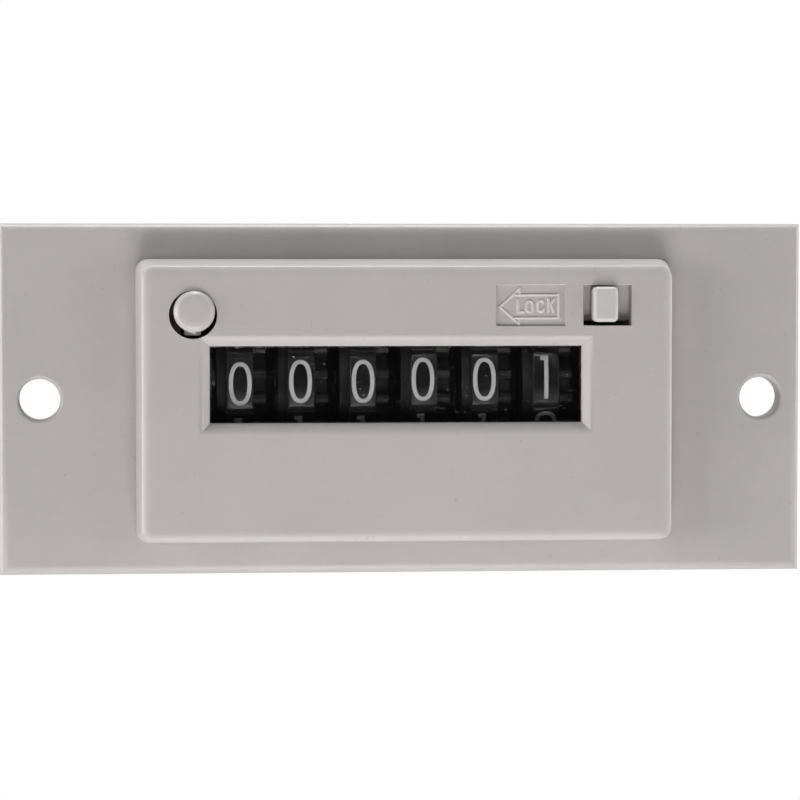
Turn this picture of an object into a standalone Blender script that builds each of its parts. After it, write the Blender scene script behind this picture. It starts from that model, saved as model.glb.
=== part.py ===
# Panel counter: a six digit electromagnetic counter with a reset button and a lock slide,
# snapped through a flat plate that two screws fix to a panel.
# X runs to the right of the front, Y into the panel, Z up. The plate's back face is at y = 0.
import math

import bmesh
import bpy
from mathutils import Matrix, Vector

mm = 0.001

# Mounting plate
plate_width = 80.5 * mm
plate_height = 35.0 * mm
plate_thickness = 3.0 * mm
plate_edge_round = 1.0 * mm
screw_inset = 4.05 * mm
screw_hole = 4.1 * mm
fit_gap = 0.3 * mm
slide_gap = 0.1 * mm

# Bezel and its sleeve
bezel_width = 53.6 * mm
bezel_height = 27.95 * mm
bezel_depth = 5.0 * mm
bezel_draft = 0.5 * mm
bezel_corner = 1.8 * mm
bezel_round = 0.9 * mm
bezel_lip = 0.22 * mm
bezel_shift = 0.12 * mm
bezel_wall = 1.5 * mm
bezel_flange = 0.8 * mm
sleeve_inset_x = 2.1 * mm
sleeve_inset_z = 1.675 * mm
sleeve_width = bezel_width - 2 * sleeve_inset_x
sleeve_height = bezel_height - 2 * sleeve_inset_z
sleeve_wall = 1.2 * mm
sleeve_reach = 3.0 * mm
hook_width = 8.0 * mm
hook_rise = 0.7 * mm

# Window and lens
window_x = -0.97 * mm
window_z = bezel_height * 0.0565
window_width = bezel_width * 0.6885
window_height = bezel_height * 0.2722
window_chamfer = 0.75 * mm
lens_thickness = 0.75 * mm
lens_lip = 0.8 * mm

# Reset button
button_inset = 5.87 * mm
button_x = button_inset - bezel_width / 2
button_z = bezel_height * 0.3113
button_diameter = bezel_height * 0.1485
button_side_gap = 0.29 * mm
button_proud = 0.8 * mm
button_edge_round = 0.7 * mm
button_travel = button_diameter * 0.6265
stem_diameter = 1.4 * mm
button_spring_room = 6.6 * mm

# Lock slide and the recess beside it
slot_inset = 6.89 * mm
slot_x = bezel_width / 2 - slot_inset
slot_z = bezel_height * 0.3356
slot_width = 4.78 * mm
slot_height = bezel_height * 0.1428
knob_width = 2.5 * mm
knob_height = slot_height * 0.87
knob_proud = 1.0 * mm
slide_sill = 0.43 * mm
lock_left = 0.8 * mm
lock_right = 1.3 * mm
legend_pitch = 7.63 * mm
legend_width = 6.86 * mm
legend_height = slot_height * 1.01
legend_depth = 0.3 * mm

# Number wheels
cavity_x = sleeve_width / 2 - sleeve_wall
cavity_z = sleeve_height / 2 - sleeve_wall
wheel_count = 6
wheel_room = 0.52 * mm
wheel_pitch = cavity_x * 0.2596
units_x = wheel_pitch * 2.3115
wheel_radius = cavity_z - window_z - wheel_room
pad_rise = 0.25 * mm
shaft_diameter = 2.5 * mm
hub_wall = 0.9 * mm
heart_rise = 2.9 * mm
gear_module = wheel_radius / 11.25
ring_teeth = 20
pinion_teeth = 8
pinion_shaft_diameter = 1.5 * mm
mesh_angle = math.radians(20.0)
star_radius = wheel_radius * 0.6667

# Reset bail
bail_back = gear_module * 3.6
bail_drop = gear_module * 9.2875
bail_hub = gear_module * 2.5
finger_width = 1.6 * mm
finger_thickness = 0.6 * mm
finger_clearance = 0.6 * mm
arm_thickness = 1.9 * mm

# Frame, magnet and case
sheet = 1.0 * mm
yoke_sheet = 1.4 * mm
coil_radius = cavity_z * 0.55
coil_length = 9.4 * mm
flange_rim = 0.5 * mm
core_diameter = coil_radius * 0.82
spring_wire = 0.2 * mm
spring_radius = 1.2 * mm
return_spring_room = 9.0 * mm
armature_gap = 0.8 * mm
case_wall = 1.2 * mm
collar_reach = 4.2 * mm
terminal_width = 4.8 * mm
terminal_thickness = 0.8 * mm
terminal_proud = 7.4 * mm
terminal_x = 13.0 * mm
terminal_z = coil_radius * 0.82
terminal_depth = 4.0 * mm
terminal_hole = 1.5 * mm
case_screw_head = 4.6 * mm
case_screw_shank = 2.2 * mm
lead_radius = 0.3 * mm
clip_sheet = 0.4 * mm
clip_length = 10.5 * mm
clip_height = 8.0 * mm

# Places that follow from the sizes above
front_y = -plate_thickness - bezel_depth
inner_y = front_y + bezel_wall
lens_back_y = inner_y + lens_thickness + slide_gap / 2
wheel_axis = Vector((0.0, lens_back_y + fit_gap + wheel_radius, window_z))
mesh_distance = (ring_teeth + pinion_teeth) / 2 * gear_module
pinion_axis = wheel_axis + mesh_distance * Vector((0.0, math.cos(mesh_angle), math.sin(mesh_angle)))
bail_axis = pinion_axis + Vector((0.0, bail_back, -bail_drop))
pinion_tip = (pinion_teeth / 2 + 1) * gear_module
bail_swing = button_travel / (button_z - bail_axis.z)
cheek_x = cavity_x - fit_gap
floor_z = -cavity_z + fit_gap
yoke_low = floor_z + sheet + fit_gap
flange_radius = coil_radius + flange_rim
coil_z = yoke_low + yoke_sheet + 3 * fit_gap + flange_radius
magnet_half = coil_radius + 0.7 * sheet
armature_y = pinion_axis.y + pinion_tip + bail_swing * bail_drop + 2 * sheet
armature_axis = Vector((0.0, armature_y + 0.6 * sheet, floor_z + 2.5 * sheet))
core_y = armature_y + 1.2 * sheet + armature_gap
bobbin_y = core_y + 4 * slide_gap
bobbin_end = bobbin_y + coil_length + 2 * sheet
yoke_y = bobbin_end + fit_gap
tab_y = yoke_y + yoke_sheet + fit_gap
case_inner = tab_y + sheet + fit_gap
case_end = case_inner + case_wall
hole_x = button_x - button_side_gap * 0.38
hole_z = button_z - button_side_gap * 0.76
hole_radius = button_diameter / 2 + button_side_gap
head_back = inner_y + bezel_wall + slide_gap
push_y = bail_axis.y - bail_hub * 0.45
wheel_centres = [units_x - wheel_pitch * i for i in range(wheel_count)]

colours = {
    "plate_plastic": ((0.43, 0.42, 0.41), 0.62, 0.0),
    "bezel_plastic": ((0.44, 0.43, 0.42), 0.58, 0.0),
    "lens_clear": ((0.86, 0.88, 0.88), 0.06, 0.0),
    "case_plastic": ((0.05, 0.05, 0.055), 0.5, 0.0),
    "wheel_plastic": ((0.012, 0.012, 0.013), 0.42, 0.0),
    "pinion_plastic": ((0.75, 0.73, 0.68), 0.45, 0.0),
    "button_plastic": ((0.36, 0.35, 0.34), 0.5, 0.0),
    "slide_plastic": ((0.24, 0.24, 0.24), 0.5, 0.0),
    "bail_plastic": ((0.5, 0.49, 0.46), 0.5, 0.0),
    "frame_steel": ((0.55, 0.55, 0.56), 0.35, 1.0),
    "shaft_steel": ((0.62, 0.62, 0.64), 0.25, 1.0),
    "spring_steel": ((0.4, 0.41, 0.43), 0.3, 1.0),
    "soft_iron": ((0.3, 0.3, 0.31), 0.4, 1.0),
    "copper_wire": ((0.62, 0.27, 0.12), 0.35, 1.0),
    "bobbin_plastic": ((0.7, 0.68, 0.6), 0.5, 0.0),
    "terminal_brass": ((0.72, 0.55, 0.25), 0.3, 1.0),
}


def clear_scene():
    for obj in list(bpy.data.objects):
        bpy.data.objects.remove(obj, do_unlink=True)


def make_collection(name):
    group = bpy.data.collections.new(name)
    bpy.context.scene.collection.children.link(group)
    return group


def make_materials():
    made = {}
    for name, (colour, roughness, metallic) in colours.items():
        material = bpy.data.materials.new(name)
        material.use_nodes = True
        shader = material.node_tree.nodes["Principled BSDF"]
        shader.inputs["Base Color"].default_value = (*colour, 1.0)
        shader.inputs["Roughness"].default_value = roughness
        shader.inputs["Metallic"].default_value = metallic
        made[name] = material
    return made


clear_scene()
parts = make_collection("panel_counter")
cutters = make_collection("cutters")
materials = make_materials()


def mesh_object(name, bm, group):
    bmesh.ops.recalc_face_normals(bm, faces=bm.faces)
    mesh = bpy.data.meshes.new(name)
    bm.to_mesh(mesh)
    bm.free()
    obj = bpy.data.objects.new(name, mesh)
    group.objects.link(obj)
    if group == cutters:
        obj.display_type = "WIRE"
        obj.hide_render = True
    return obj


def part(name, obj, material, origin=None):
    """Name a finished solid, give it its material and put its origin where it turns."""
    if obj.name in cutters.objects:
        cutters.objects.unlink(obj)
        parts.objects.link(obj)
        obj.display_type = "TEXTURED"
        obj.hide_render = False
    obj.name = name
    obj.data.name = name
    obj.data.materials.clear()
    obj.data.materials.append(materials[material])
    if origin is not None:
        obj.data.transform(Matrix.Translation(-origin))
        obj.location = origin
    return obj


def block(x, y, z, name="block"):
    """A box between pairs of limits."""
    size = Matrix.Diagonal((x[1] - x[0], y[1] - y[0], z[1] - z[0], 1.0))
    centre = Vector(((x[0] + x[1]) / 2, (y[0] + y[1]) / 2, (z[0] + z[1]) / 2))
    bm = bmesh.new()
    bmesh.ops.create_cube(bm, size=1.0, matrix=Matrix.Translation(centre) @ size)
    return mesh_object(name, bm, cutters)


def rounded_block(x, y, z, corner, axis, name="rounded"):
    """A box whose four edges along one axis are rounded."""
    obj = block(x, y, z, name)
    bm = bmesh.new()
    bm.from_mesh(obj.data)
    along = [e for e in bm.edges if abs((e.verts[0].co - e.verts[1].co)[axis]) > 1e-6]
    bmesh.ops.bevel(bm, geom=along, offset=corner, segments=3, affect="EDGES", profile=0.5)
    bm.to_mesh(obj.data)
    bm.free()
    return obj


turn_to = {
    "x": Matrix(((0, 0, 1, 0), (1, 0, 0, 0), (0, 1, 0, 0), (0, 0, 0, 1))),
    "y": Matrix(((1, 0, 0, 0), (0, 0, -1, 0), (0, 1, 0, 0), (0, 0, 0, 1))),
    "z": Matrix.Identity(4),
}


def rod(centre, radius, ends, axis, segments=24, name="rod", tip_radius=None):
    """A round bar or cone between two positions on its axis."""
    middle = Vector(centre)
    middle["xyz".index(axis)] = (ends[0] + ends[1]) / 2
    turn = turn_to[axis]
    if axis == "y":
        turn = Matrix.Rotation(-math.pi / 2, 4, "X")
    bm = bmesh.new()
    bmesh.ops.create_cone(
        bm, cap_ends=True, segments=segments, depth=ends[1] - ends[0],
        radius1=radius, radius2=radius if tip_radius is None else tip_radius,
        matrix=Matrix.Translation(middle) @ turn)
    return mesh_object(name, bm, cutters)


def plate_from_outline(points, ends, axis, centre=(0.0, 0.0, 0.0), name="outline"):
    """A flat curve, filled and extruded along an axis; the outline lies in the other two."""
    curve = bpy.data.curves.new(name, "CURVE")
    curve.dimensions = "2D"
    curve.fill_mode = "BOTH"
    curve.extrude = (ends[1] - ends[0]) / 2
    spline = curve.splines.new("POLY")
    spline.points.add(len(points) - 1)
    for target, point in zip(spline.points, points):
        target.co = (point[0], point[1], 0.0, 1.0)
    spline.use_cyclic_u = True
    source = bpy.data.objects.new(name, curve)
    bpy.context.scene.collection.objects.link(source)
    middle = Vector(centre)
    middle["xyz".index(axis)] = (ends[0] + ends[1]) / 2
    source.matrix_world = Matrix.Translation(middle) @ turn_to[axis]
    bpy.context.view_layer.update()
    return curve_to_mesh(source, name)


def curve_to_mesh(source, name):
    depsgraph = bpy.context.evaluated_depsgraph_get()
    mesh = bpy.data.meshes.new_from_object(source.evaluated_get(depsgraph))
    place = source.matrix_world.copy()
    bm = bmesh.new()
    bm.from_mesh(mesh)
    bmesh.ops.remove_doubles(bm, verts=bm.verts, dist=1e-7)
    bmesh.ops.transform(bm, matrix=place, verts=bm.verts)
    obj = mesh_object(name, bm, cutters)
    bpy.data.meshes.remove(mesh)
    old = source.data
    bpy.data.objects.remove(source)
    bpy.data.curves.remove(old)
    return obj


def tube_along(points, radius, name):
    """A round wire along a chain of points, with closed ends."""
    curve = bpy.data.curves.new(name, "CURVE")
    curve.dimensions = "3D"
    curve.bevel_depth = radius
    curve.bevel_resolution = 1
    curve.use_fill_caps = True
    spline = curve.splines.new("POLY")
    spline.points.add(len(points) - 1)
    for target, point in zip(spline.points, points):
        target.co = (*point, 1.0)
    source = bpy.data.objects.new(name, curve)
    bpy.context.scene.collection.objects.link(source)
    bpy.context.view_layer.update()
    return curve_to_mesh(source, name)


def turned(profile, axis, centre, segments, name):
    """A profile of radius and height, turned into a solid of revolution."""
    bm = bmesh.new()
    verts = [bm.verts.new((radius, 0.0, along)) for radius, along in profile]
    for first, second in zip(verts, verts[1:]):
        bm.edges.new((first, second))
    if profile[0][0] > 0.0:
        bm.edges.new((verts[-1], verts[0]))
    mesh = bpy.data.meshes.new(name)
    bm.to_mesh(mesh)
    bm.free()
    obj = bpy.data.objects.new(name, mesh)
    bpy.context.scene.collection.objects.link(obj)
    screw = obj.modifiers.new("turn", "SCREW")
    screw.axis = "Z"
    screw.steps = segments
    screw.render_steps = segments
    screw.use_merge_vertices = True
    screw.merge_threshold = 1e-6
    bpy.context.view_layer.update()
    result = bpy.data.meshes.new_from_object(obj.evaluated_get(bpy.context.evaluated_depsgraph_get()))
    bm = bmesh.new()
    bm.from_mesh(result)
    bmesh.ops.remove_doubles(bm, verts=bm.verts, dist=1e-7)
    turn = turn_to[axis] if axis != "y" else Matrix.Rotation(-math.pi / 2, 4, "X")
    bmesh.ops.transform(bm, matrix=Matrix.Translation(Vector(centre)) @ turn, verts=bm.verts)
    bpy.data.objects.remove(obj)
    bpy.data.meshes.remove(mesh)
    bpy.data.meshes.remove(result)
    return mesh_object(name, bm, cutters)


def boolean(obj, other, operation):
    step = obj.modifiers.new(other.name, "BOOLEAN")
    step.operation = operation
    step.solver = "EXACT"
    step.object = other
    return obj


def join(obj, *others):
    for other in others:
        boolean(obj, other, "UNION")
    return obj


def cut(obj, *others):
    for other in others:
        boolean(obj, other, "DIFFERENCE")
    return obj


def bevel_edges(obj, chosen, offset, segments=2):
    """Round the edges of an object's own mesh that a test picks."""
    bm = bmesh.new()
    bm.from_mesh(obj.data)
    picked = [edge for edge in bm.edges if chosen(edge)]
    bmesh.ops.bevel(bm, geom=picked, offset=offset, segments=segments, affect="EDGES", profile=0.5)
    bm.to_mesh(obj.data)
    bm.free()
    return obj


def on_plane(edge, axis, value):
    return all(abs(vert.co[axis] - value) < 1e-7 for vert in edge.verts)


def polar(radius, angle):
    return (radius * math.cos(angle), radius * math.sin(angle))


def ride(child, parent):
    child.parent = parent
    child.matrix_parent_inverse = Matrix.Translation(-parent.location)


def build_plate():
    plate = block((-plate_width / 2, plate_width / 2), (-plate_thickness, 0.0),
                  (-plate_height / 2, plate_height / 2))
    bevel_edges(plate, lambda edge: on_plane(edge, 1, -plate_thickness), plate_edge_round, 3)
    half_x = sleeve_width / 2 + fit_gap
    half_z = sleeve_height / 2 + fit_gap
    beyond = plate_thickness
    cut(plate, block((-half_x, half_x), (-plate_thickness - beyond, beyond), (-half_z, half_z), "opening"))
    for side in (-1, 1):
        hole = rod((side * (plate_width / 2 - screw_inset), 0.0, 0.0), screw_hole / 2,
                   (-plate_thickness - beyond, beyond), "y", 32, "screw_hole")
        cut(plate, hole)
    return part("mounting_plate", plate, "plate_plastic")


def drafted_bezel():
    """The bezel's outer form: a box that narrows to the front, with rounded edges and a low lip."""
    body = block((bezel_shift - bezel_width / 2, bezel_shift + bezel_width / 2),
                 (front_y, -plate_thickness - slide_gap / 2),
                 (-bezel_height / 2 - bezel_lip, bezel_height / 2), "bezel_form")
    bm = bmesh.new()
    bm.from_mesh(body.data)
    for vert in bm.verts:
        if abs(vert.co.y - front_y) < 1e-7:
            vert.co.x -= math.copysign(bezel_draft, vert.co.x)
            vert.co.z -= math.copysign(bezel_draft, vert.co.z)
    depth_edges = [e for e in bm.edges if abs(e.verts[0].co.y - e.verts[1].co.y) > 1e-5]
    bmesh.ops.bevel(bm, geom=depth_edges, offset=bezel_corner, segments=3, affect="EDGES", profile=0.5)
    rim = [e for e in bm.edges if on_plane(e, 1, front_y)]
    bmesh.ops.bevel(bm, geom=rim, offset=bezel_round, segments=3, affect="EDGES", profile=0.5)
    bm.to_mesh(body.data)
    bm.free()
    return body


def window_cutter():
    """The window with its chamfered rim, as one cutter that widens to the front."""
    half_x = window_width / 2
    half_z = window_height / 2
    ahead = window_chamfer
    straight = block((window_x - half_x, window_x + half_x), (front_y - ahead, inner_y + ahead),
                     (window_z - half_z, window_z + half_z), "window_straight")
    flare = block((window_x - half_x, window_x + half_x), (front_y - ahead, front_y + window_chamfer),
                  (window_z - half_z, window_z + half_z), "window_flare")
    for vert in flare.data.vertices:
        if vert.co.y < front_y:
            vert.co.x += math.copysign(window_chamfer + ahead, vert.co.x - window_x)
            vert.co.z += math.copysign(window_chamfer + ahead, vert.co.z - window_z)
    return straight, flare


def build_bezel():
    bezel = drafted_bezel()
    sleeve = rounded_block((-sleeve_width / 2, sleeve_width / 2), (-plate_thickness - sheet, sleeve_reach),
                           (-sleeve_height / 2, sleeve_height / 2), sleeve_wall * 0.8, 1, "sleeve")
    join(bezel, sleeve)
    room_x = bezel_width / 2 - bezel_draft - bezel_wall
    room_z = bezel_height / 2 - bezel_draft - bezel_wall
    cut(bezel, block((-room_x, room_x), (inner_y, -plate_thickness - bezel_flange), (-room_z, room_z),
                     "front_room"))
    cut(bezel, block((-cavity_x, cavity_x), (inner_y, sleeve_reach + sheet), (-cavity_z, cavity_z), "room"))
    guide = rod((hole_x, 0.0, hole_z), hole_radius + bezel_wall / 3,
                (inner_y - bezel_wall / 2, head_back), "y", 24, "button_guide")
    join(bezel, guide)
    cut(bezel, *window_cutter())
    cut(bezel, rod((hole_x, 0.0, hole_z), hole_radius, (front_y - sheet, 0.0), "y", 32, "button_hole"))
    legend_x = slot_x - legend_pitch
    slot = block((slot_x - slot_width / 2, slot_x + slot_width / 2), (front_y - sheet, inner_y + sheet),
                 (slot_z - slot_height / 2, slot_z + slot_height / 2), "lock_slot")
    recess = block((legend_x - legend_width / 2, legend_x + legend_width / 2),
                   (front_y - sheet, front_y + legend_depth),
                   (slot_z - legend_height / 2, slot_z + legend_height / 2), "legend_recess")
    cut(bezel, slot, recess)
    for side in (-1, 1):
        root = side * (sleeve_height / 2 - sleeve_wall / 2)
        edge = side * (sleeve_height / 2)
        tip = side * (sleeve_height / 2 + hook_rise)
        wedge = [(sleeve_reach * 0.4, root), (sleeve_reach * 0.4, tip),
                 (sleeve_reach * 0.55, tip), (sleeve_reach * 0.9, edge), (sleeve_reach * 0.9, root)]
        join(bezel, plate_from_outline(wedge, (-hook_width / 2, hook_width / 2), "x", name="snap_hook"))
    return part("front_bezel", bezel, "bezel_plastic")


def build_lens():
    half_x = window_width / 2 + lens_lip
    low = window_z - window_height / 2 - lens_lip
    high = window_z + window_height / 2 + slide_gap / 2
    lens = block((window_x - half_x, window_x + half_x), (inner_y + slide_gap / 2, lens_back_y), (low, high))
    inset = slide_gap
    raised = block((window_x - window_width / 2 + inset, window_x + window_width / 2 - inset),
                   (inner_y - window_chamfer * 0.8, inner_y + lens_thickness / 2),
                   (window_z - window_height / 2 + inset, window_z + window_height / 2 - inset), "lens_step")
    join(lens, raised)
    return part("window_lens", lens, "lens_clear")


def build_button():
    """A domed head that stands proud of the bezel, on a stem that reaches back to the bail."""
    face = front_y - button_proud
    length = head_back - face - slide_gap
    radius = button_diameter / 2
    tip = push_y - fit_gap
    rim = button_edge_round
    profile = [(0.0, 0.0)]
    for turn in (90, 60, 30, 0):
        across, back = polar(rim, math.radians(turn))
        profile.append((radius - rim + across, rim - back))
    profile += [(radius, length), (stem_diameter / 2, length),
                (stem_diameter / 2, tip - face - stem_diameter / 4),
                (stem_diameter / 4, tip - face), (0.0, tip - face)]
    button = turned(profile, "y", (button_x, face, button_z), 24, "button")
    return part("reset_button", button, "button_plastic", Vector((button_x, face, button_z)))


def coil_points(centre, radius, ends, turns, per_turn=10):
    steps = int(turns * per_turn)
    points = []
    for step in range(steps + 1):
        angle = 2 * math.pi * step / per_turn
        along = ends[0] + (ends[1] - ends[0]) * step / steps
        points.append((centre[0] + radius * math.cos(angle), along, centre[2] + radius * math.sin(angle)))
    return points


def build_reset_spring():
    wire = spring_wire * 0.75
    start = head_back + fit_gap + wire
    stop = guide_lug_y() - fit_gap - wire
    radius = stem_diameter / 2 + wire + slide_gap
    spring = tube_along(coil_points((button_x, 0.0, button_z), radius, (start, stop), 6), wire, "spring")
    return part("reset_spring", spring, "spring_steel")


def guide_lug_y():
    return head_back + button_spring_room


def build_lock_slide():
    knob_x = slot_x - (lock_right - lock_left) * 0.56
    knob_z = slot_z + slide_gap
    room_x = bezel_width / 2 - bezel_draft - bezel_wall
    right = min(slot_x + slot_width / 2 + lock_left, room_x - lock_right) - slide_gap
    left = slot_x - slot_width / 2 - lock_right - slide_gap
    front = inner_y + slide_gap
    back = front + sheet
    low = slot_z - slot_height / 2 + slide_sill
    room_z = bezel_height / 2 - bezel_draft - bezel_wall
    high = min(slot_z + slot_height / 2 + sheet * 0.7, room_z - slide_gap)
    slide = block((left, right), (front, back), (low, high))
    knob = rounded_block((knob_x - knob_width / 2, knob_x + knob_width / 2),
                         (front_y - knob_proud, front + sheet / 2),
                         (knob_z - knob_height / 2, knob_z + knob_height / 2), 0.16 * knob_width, 1, "knob")
    bar_low = slot_z - sheet
    bar_high = slot_z + sheet
    guide_edge = hole_x + hole_radius + bezel_wall / 3
    bar_end = guide_edge + lock_left + fit_gap * 1.6
    bar = block((bar_end, left + sheet), (front + slide_gap, back - slide_gap), (bar_low, bar_high),
                "lock_bar")
    finger_front = head_back + slide_gap * 2
    finger_end = button_x + button_diameter / 2 + fit_gap + lock_left
    step = block((bar_end + slide_gap, bar_end + sheet), (front + sheet / 2, finger_front + sheet * 0.7),
                 (bar_low + slide_gap, bar_high - slide_gap), "lock_step")
    finger = block((min(finger_end, bar_end - slide_gap), bar_end + sheet / 2),
                   (finger_front, finger_front + sheet * 0.6),
                   (bar_low + 3 * slide_gap, bar_high - 3 * slide_gap), "lock_finger")
    join(slide, knob, bar, step, finger)
    return part("lock_slider", slide, "slide_plastic", Vector((knob_x, inner_y, knob_z)))


def rim_outline():
    """Ten raised pads, one for each digit, with shallow gaps between them."""
    points = []
    for digit in range(10):
        middle = math.pi + digit * math.pi / 5
        for turn, drop in ((-13.5, 0.0), (0.0, 0.0), (13.5, 0.0), (15.5, pad_rise), (20.5, pad_rise)):
            points.append(polar(wheel_radius - drop, middle + math.radians(turn)))
    return points


def tooth_outline(teeth, root, tip, root_width, tip_width, first):
    """Straight sided teeth around a root circle."""
    points = []
    for tooth in range(teeth):
        middle = first + 2 * math.pi * tooth / teeth
        for radius, width in ((root, -root_width), (tip, -tip_width), (tip, tip_width), (root, root_width)):
            points.append(polar(radius, middle + width / 2 / radius))
    return points


def driver_outline():
    """A locking rim with a two tooth notch."""
    radius = wheel_radius - gear_module * 1.25
    notch = gear_module * 1.6
    points = []
    for turn in range(0, 322, 23):
        points.append(polar(radius, math.radians(turn + 19)))
    for turn, drop in ((-12, notch), (-5, notch), (-3, 0.0), (3, 0.0), (5, notch), (12, notch)):
        points.append(polar(radius - drop, math.radians(turn)))
    return points


def heart_outline():
    """A heart cam that runs from a low point to a high point on both sides."""
    low = shaft_diameter / 2 + hub_wall
    high = low + heart_rise
    points = []
    for step in range(24):
        turn = -math.pi + 2 * math.pi * step / 24
        points.append(polar(low + (high - low) * abs(turn) / math.pi, turn + math.pi / 3))
    return points


def build_wheel(number):
    x = wheel_centres[number]
    axis = (0.0, wheel_axis.y, wheel_axis.z)
    lap = 2 * slide_gap
    half = wheel_pitch * 0.213
    driver = (x - wheel_pitch * 0.369, x - half + lap)
    ring = (x + half - lap, x + wheel_pitch * 0.426)
    cam = (ring[1] - lap, x + wheel_pitch * 0.59)
    ring_tip = ring_teeth / 2 * gear_module + gear_module * 0.75
    ring_root = (ring_teeth / 2 - 1.25) * gear_module
    facing = mesh_angle + math.pi / ring_teeth
    teeth = tooth_outline(ring_teeth, ring_root, ring_tip, gear_module * 1.8, gear_module * 0.7, facing)
    wheel = plate_from_outline(rim_outline(), (x - half, x + half), "x", axis, "rim")
    join(wheel, plate_from_outline(driver_outline(), driver, "x", axis, "driver"))
    join(wheel, plate_from_outline(teeth, ring, "x", axis, "ring"))
    join(wheel, plate_from_outline(heart_outline(), cam, "x", axis, "cam"))
    end = cam[1]
    if number == 0:
        hub = (cam[1] - lap, cam[1] + fit_gap + lap)
        star = (hub[1] - lap, hub[1] - lap + sheet)
        points = []
        for tooth in range(10):
            middle = tooth * math.pi / 5
            points.append(polar(star_radius, middle))
            points.append(polar(star_radius * 0.72, middle + math.radians(12)))
            points.append(polar(star_radius * 0.72, middle + math.radians(26)))
        join(wheel, rod(axis, shaft_diameter / 2 + hub_wall, hub, "x", 20, "star_hub"))
        join(wheel, plate_from_outline(points, star, "x", axis, "star"))
        end = star[1]
    bore = rod(axis, shaft_diameter / 2 + slide_gap, (driver[0] - sheet, end + sheet), "x", 20, "bore")
    cut(wheel, bore)
    origin = Vector((x, wheel_axis.y, wheel_axis.z))
    return part(f"number_wheel_{number + 1}", wheel, "wheel_plastic", origin)


def build_pinion(number):
    """Pinion between one wheel and the next, with every second tooth cut short."""
    ring_x = wheel_centres[number + 1]
    full = (ring_x + wheel_pitch * 0.23, ring_x + wheel_pitch * 0.43)
    driver_x = wheel_centres[number] - wheel_pitch * 0.369
    narrow = (full[1] - 2 * slide_gap, driver_x - fit_gap)
    root = (pinion_teeth / 2 - 1.15) * gear_module
    facing = mesh_angle + math.pi
    teeth = tooth_outline(pinion_teeth, root, pinion_tip, gear_module * 1.5, gear_module * 0.6, facing)
    long_teeth = tooth_outline(pinion_teeth // 2, root * 0.96, pinion_tip * 0.98, gear_module * 1.3,
                               gear_module * 0.5, facing)
    pinion = plate_from_outline(teeth, full, "x", pinion_axis, "teeth")
    join(pinion, plate_from_outline(long_teeth, narrow, "x", pinion_axis, "long_teeth"))
    bore = rod(pinion_axis, pinion_shaft_diameter / 2 + slide_gap, (full[0] - sheet, narrow[1] + sheet),
               "x", 16, "pinion_bore")
    cut(pinion, bore)
    origin = Vector(((full[0] + narrow[1]) / 2, pinion_axis.y, pinion_axis.z))
    return part(f"transfer_pinion_{number + 1}", pinion, "pinion_plastic", origin)


def finger_tip():
    reach = wheel_radius - finger_clearance
    return Vector((0.0, wheel_axis.y + reach * 0.23, wheel_axis.z - reach * 0.97))


def arm_outline(top):
    """Side arm of the bail from its hub past the pinion shaft, up to a push face where it has one."""
    boss = pinion_shaft_diameter / 2 + 5 * slide_gap
    hub = bail_hub
    by, bz = bail_axis.y, bail_axis.z
    py, pz = pinion_axis.y, pinion_axis.z
    points = [(by + hub, bz), (by + hub * 0.6, bz - hub * 0.8), (by - hub * 0.6, bz - hub * 0.8),
              (by - hub, bz), (py - boss, pz - boss * 0.4), (py - boss * 0.7, pz + boss * 0.7),
              (py, pz + boss)]
    if top is None:
        points += [(py + boss * 0.9, pz + boss * 0.5)]
        return points
    points += [(push_y - fit_gap, pz + boss), (push_y, pz + boss * 1.5), (push_y, top),
               (push_y + 2 * sheet, top), (push_y + 2 * sheet, pz + boss)]
    return points


def build_bail():
    left = (-cheek_x + sheet + fit_gap, -cheek_x + sheet + fit_gap + arm_thickness)
    right = (cheek_x - sheet - sheet - 1.2 * sheet, cheek_x - 2 * sheet)
    bail = rod(bail_axis, bail_hub, (left[0] + slide_gap, right[1] - slide_gap), "x", 20, "hub")
    top = button_z + stem_diameter / 2 + fit_gap
    join(bail, plate_from_outline(arm_outline(top), left, "x", name="push_arm"))
    join(bail, plate_from_outline(arm_outline(None), right, "x", name="end_arm"))
    tip = finger_tip()
    along = (tip - bail_axis).normalized()
    across = Vector((0.0, -along.z, along.y))
    half = finger_width / 2
    corners = [bail_axis + across * half, tip + across * half * 0.7, tip + across * half * -1.0,
               bail_axis - across * half]
    outline = [(corner.y, corner.z) for corner in corners]
    for number, x in enumerate(wheel_centres):
        middle = x + wheel_pitch * 0.508
        ends = (middle - finger_thickness / 2, middle + finger_thickness / 2)
        join(bail, plate_from_outline(outline, ends, "x", name=f"finger_{number + 1}"))
    beyond = (left[0] - sheet, right[1] + sheet)
    cut(bail, rod(bail_axis, bail_hub / 2 + slide_gap, beyond, "x", 16, "bail_bore"))
    cut(bail, rod(pinion_axis, pinion_shaft_diameter / 2 + slide_gap, beyond, "x", 16, "pinion_seat"))
    return part("reset_bail", bail, "bail_plastic", Vector(bail_axis))


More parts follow.
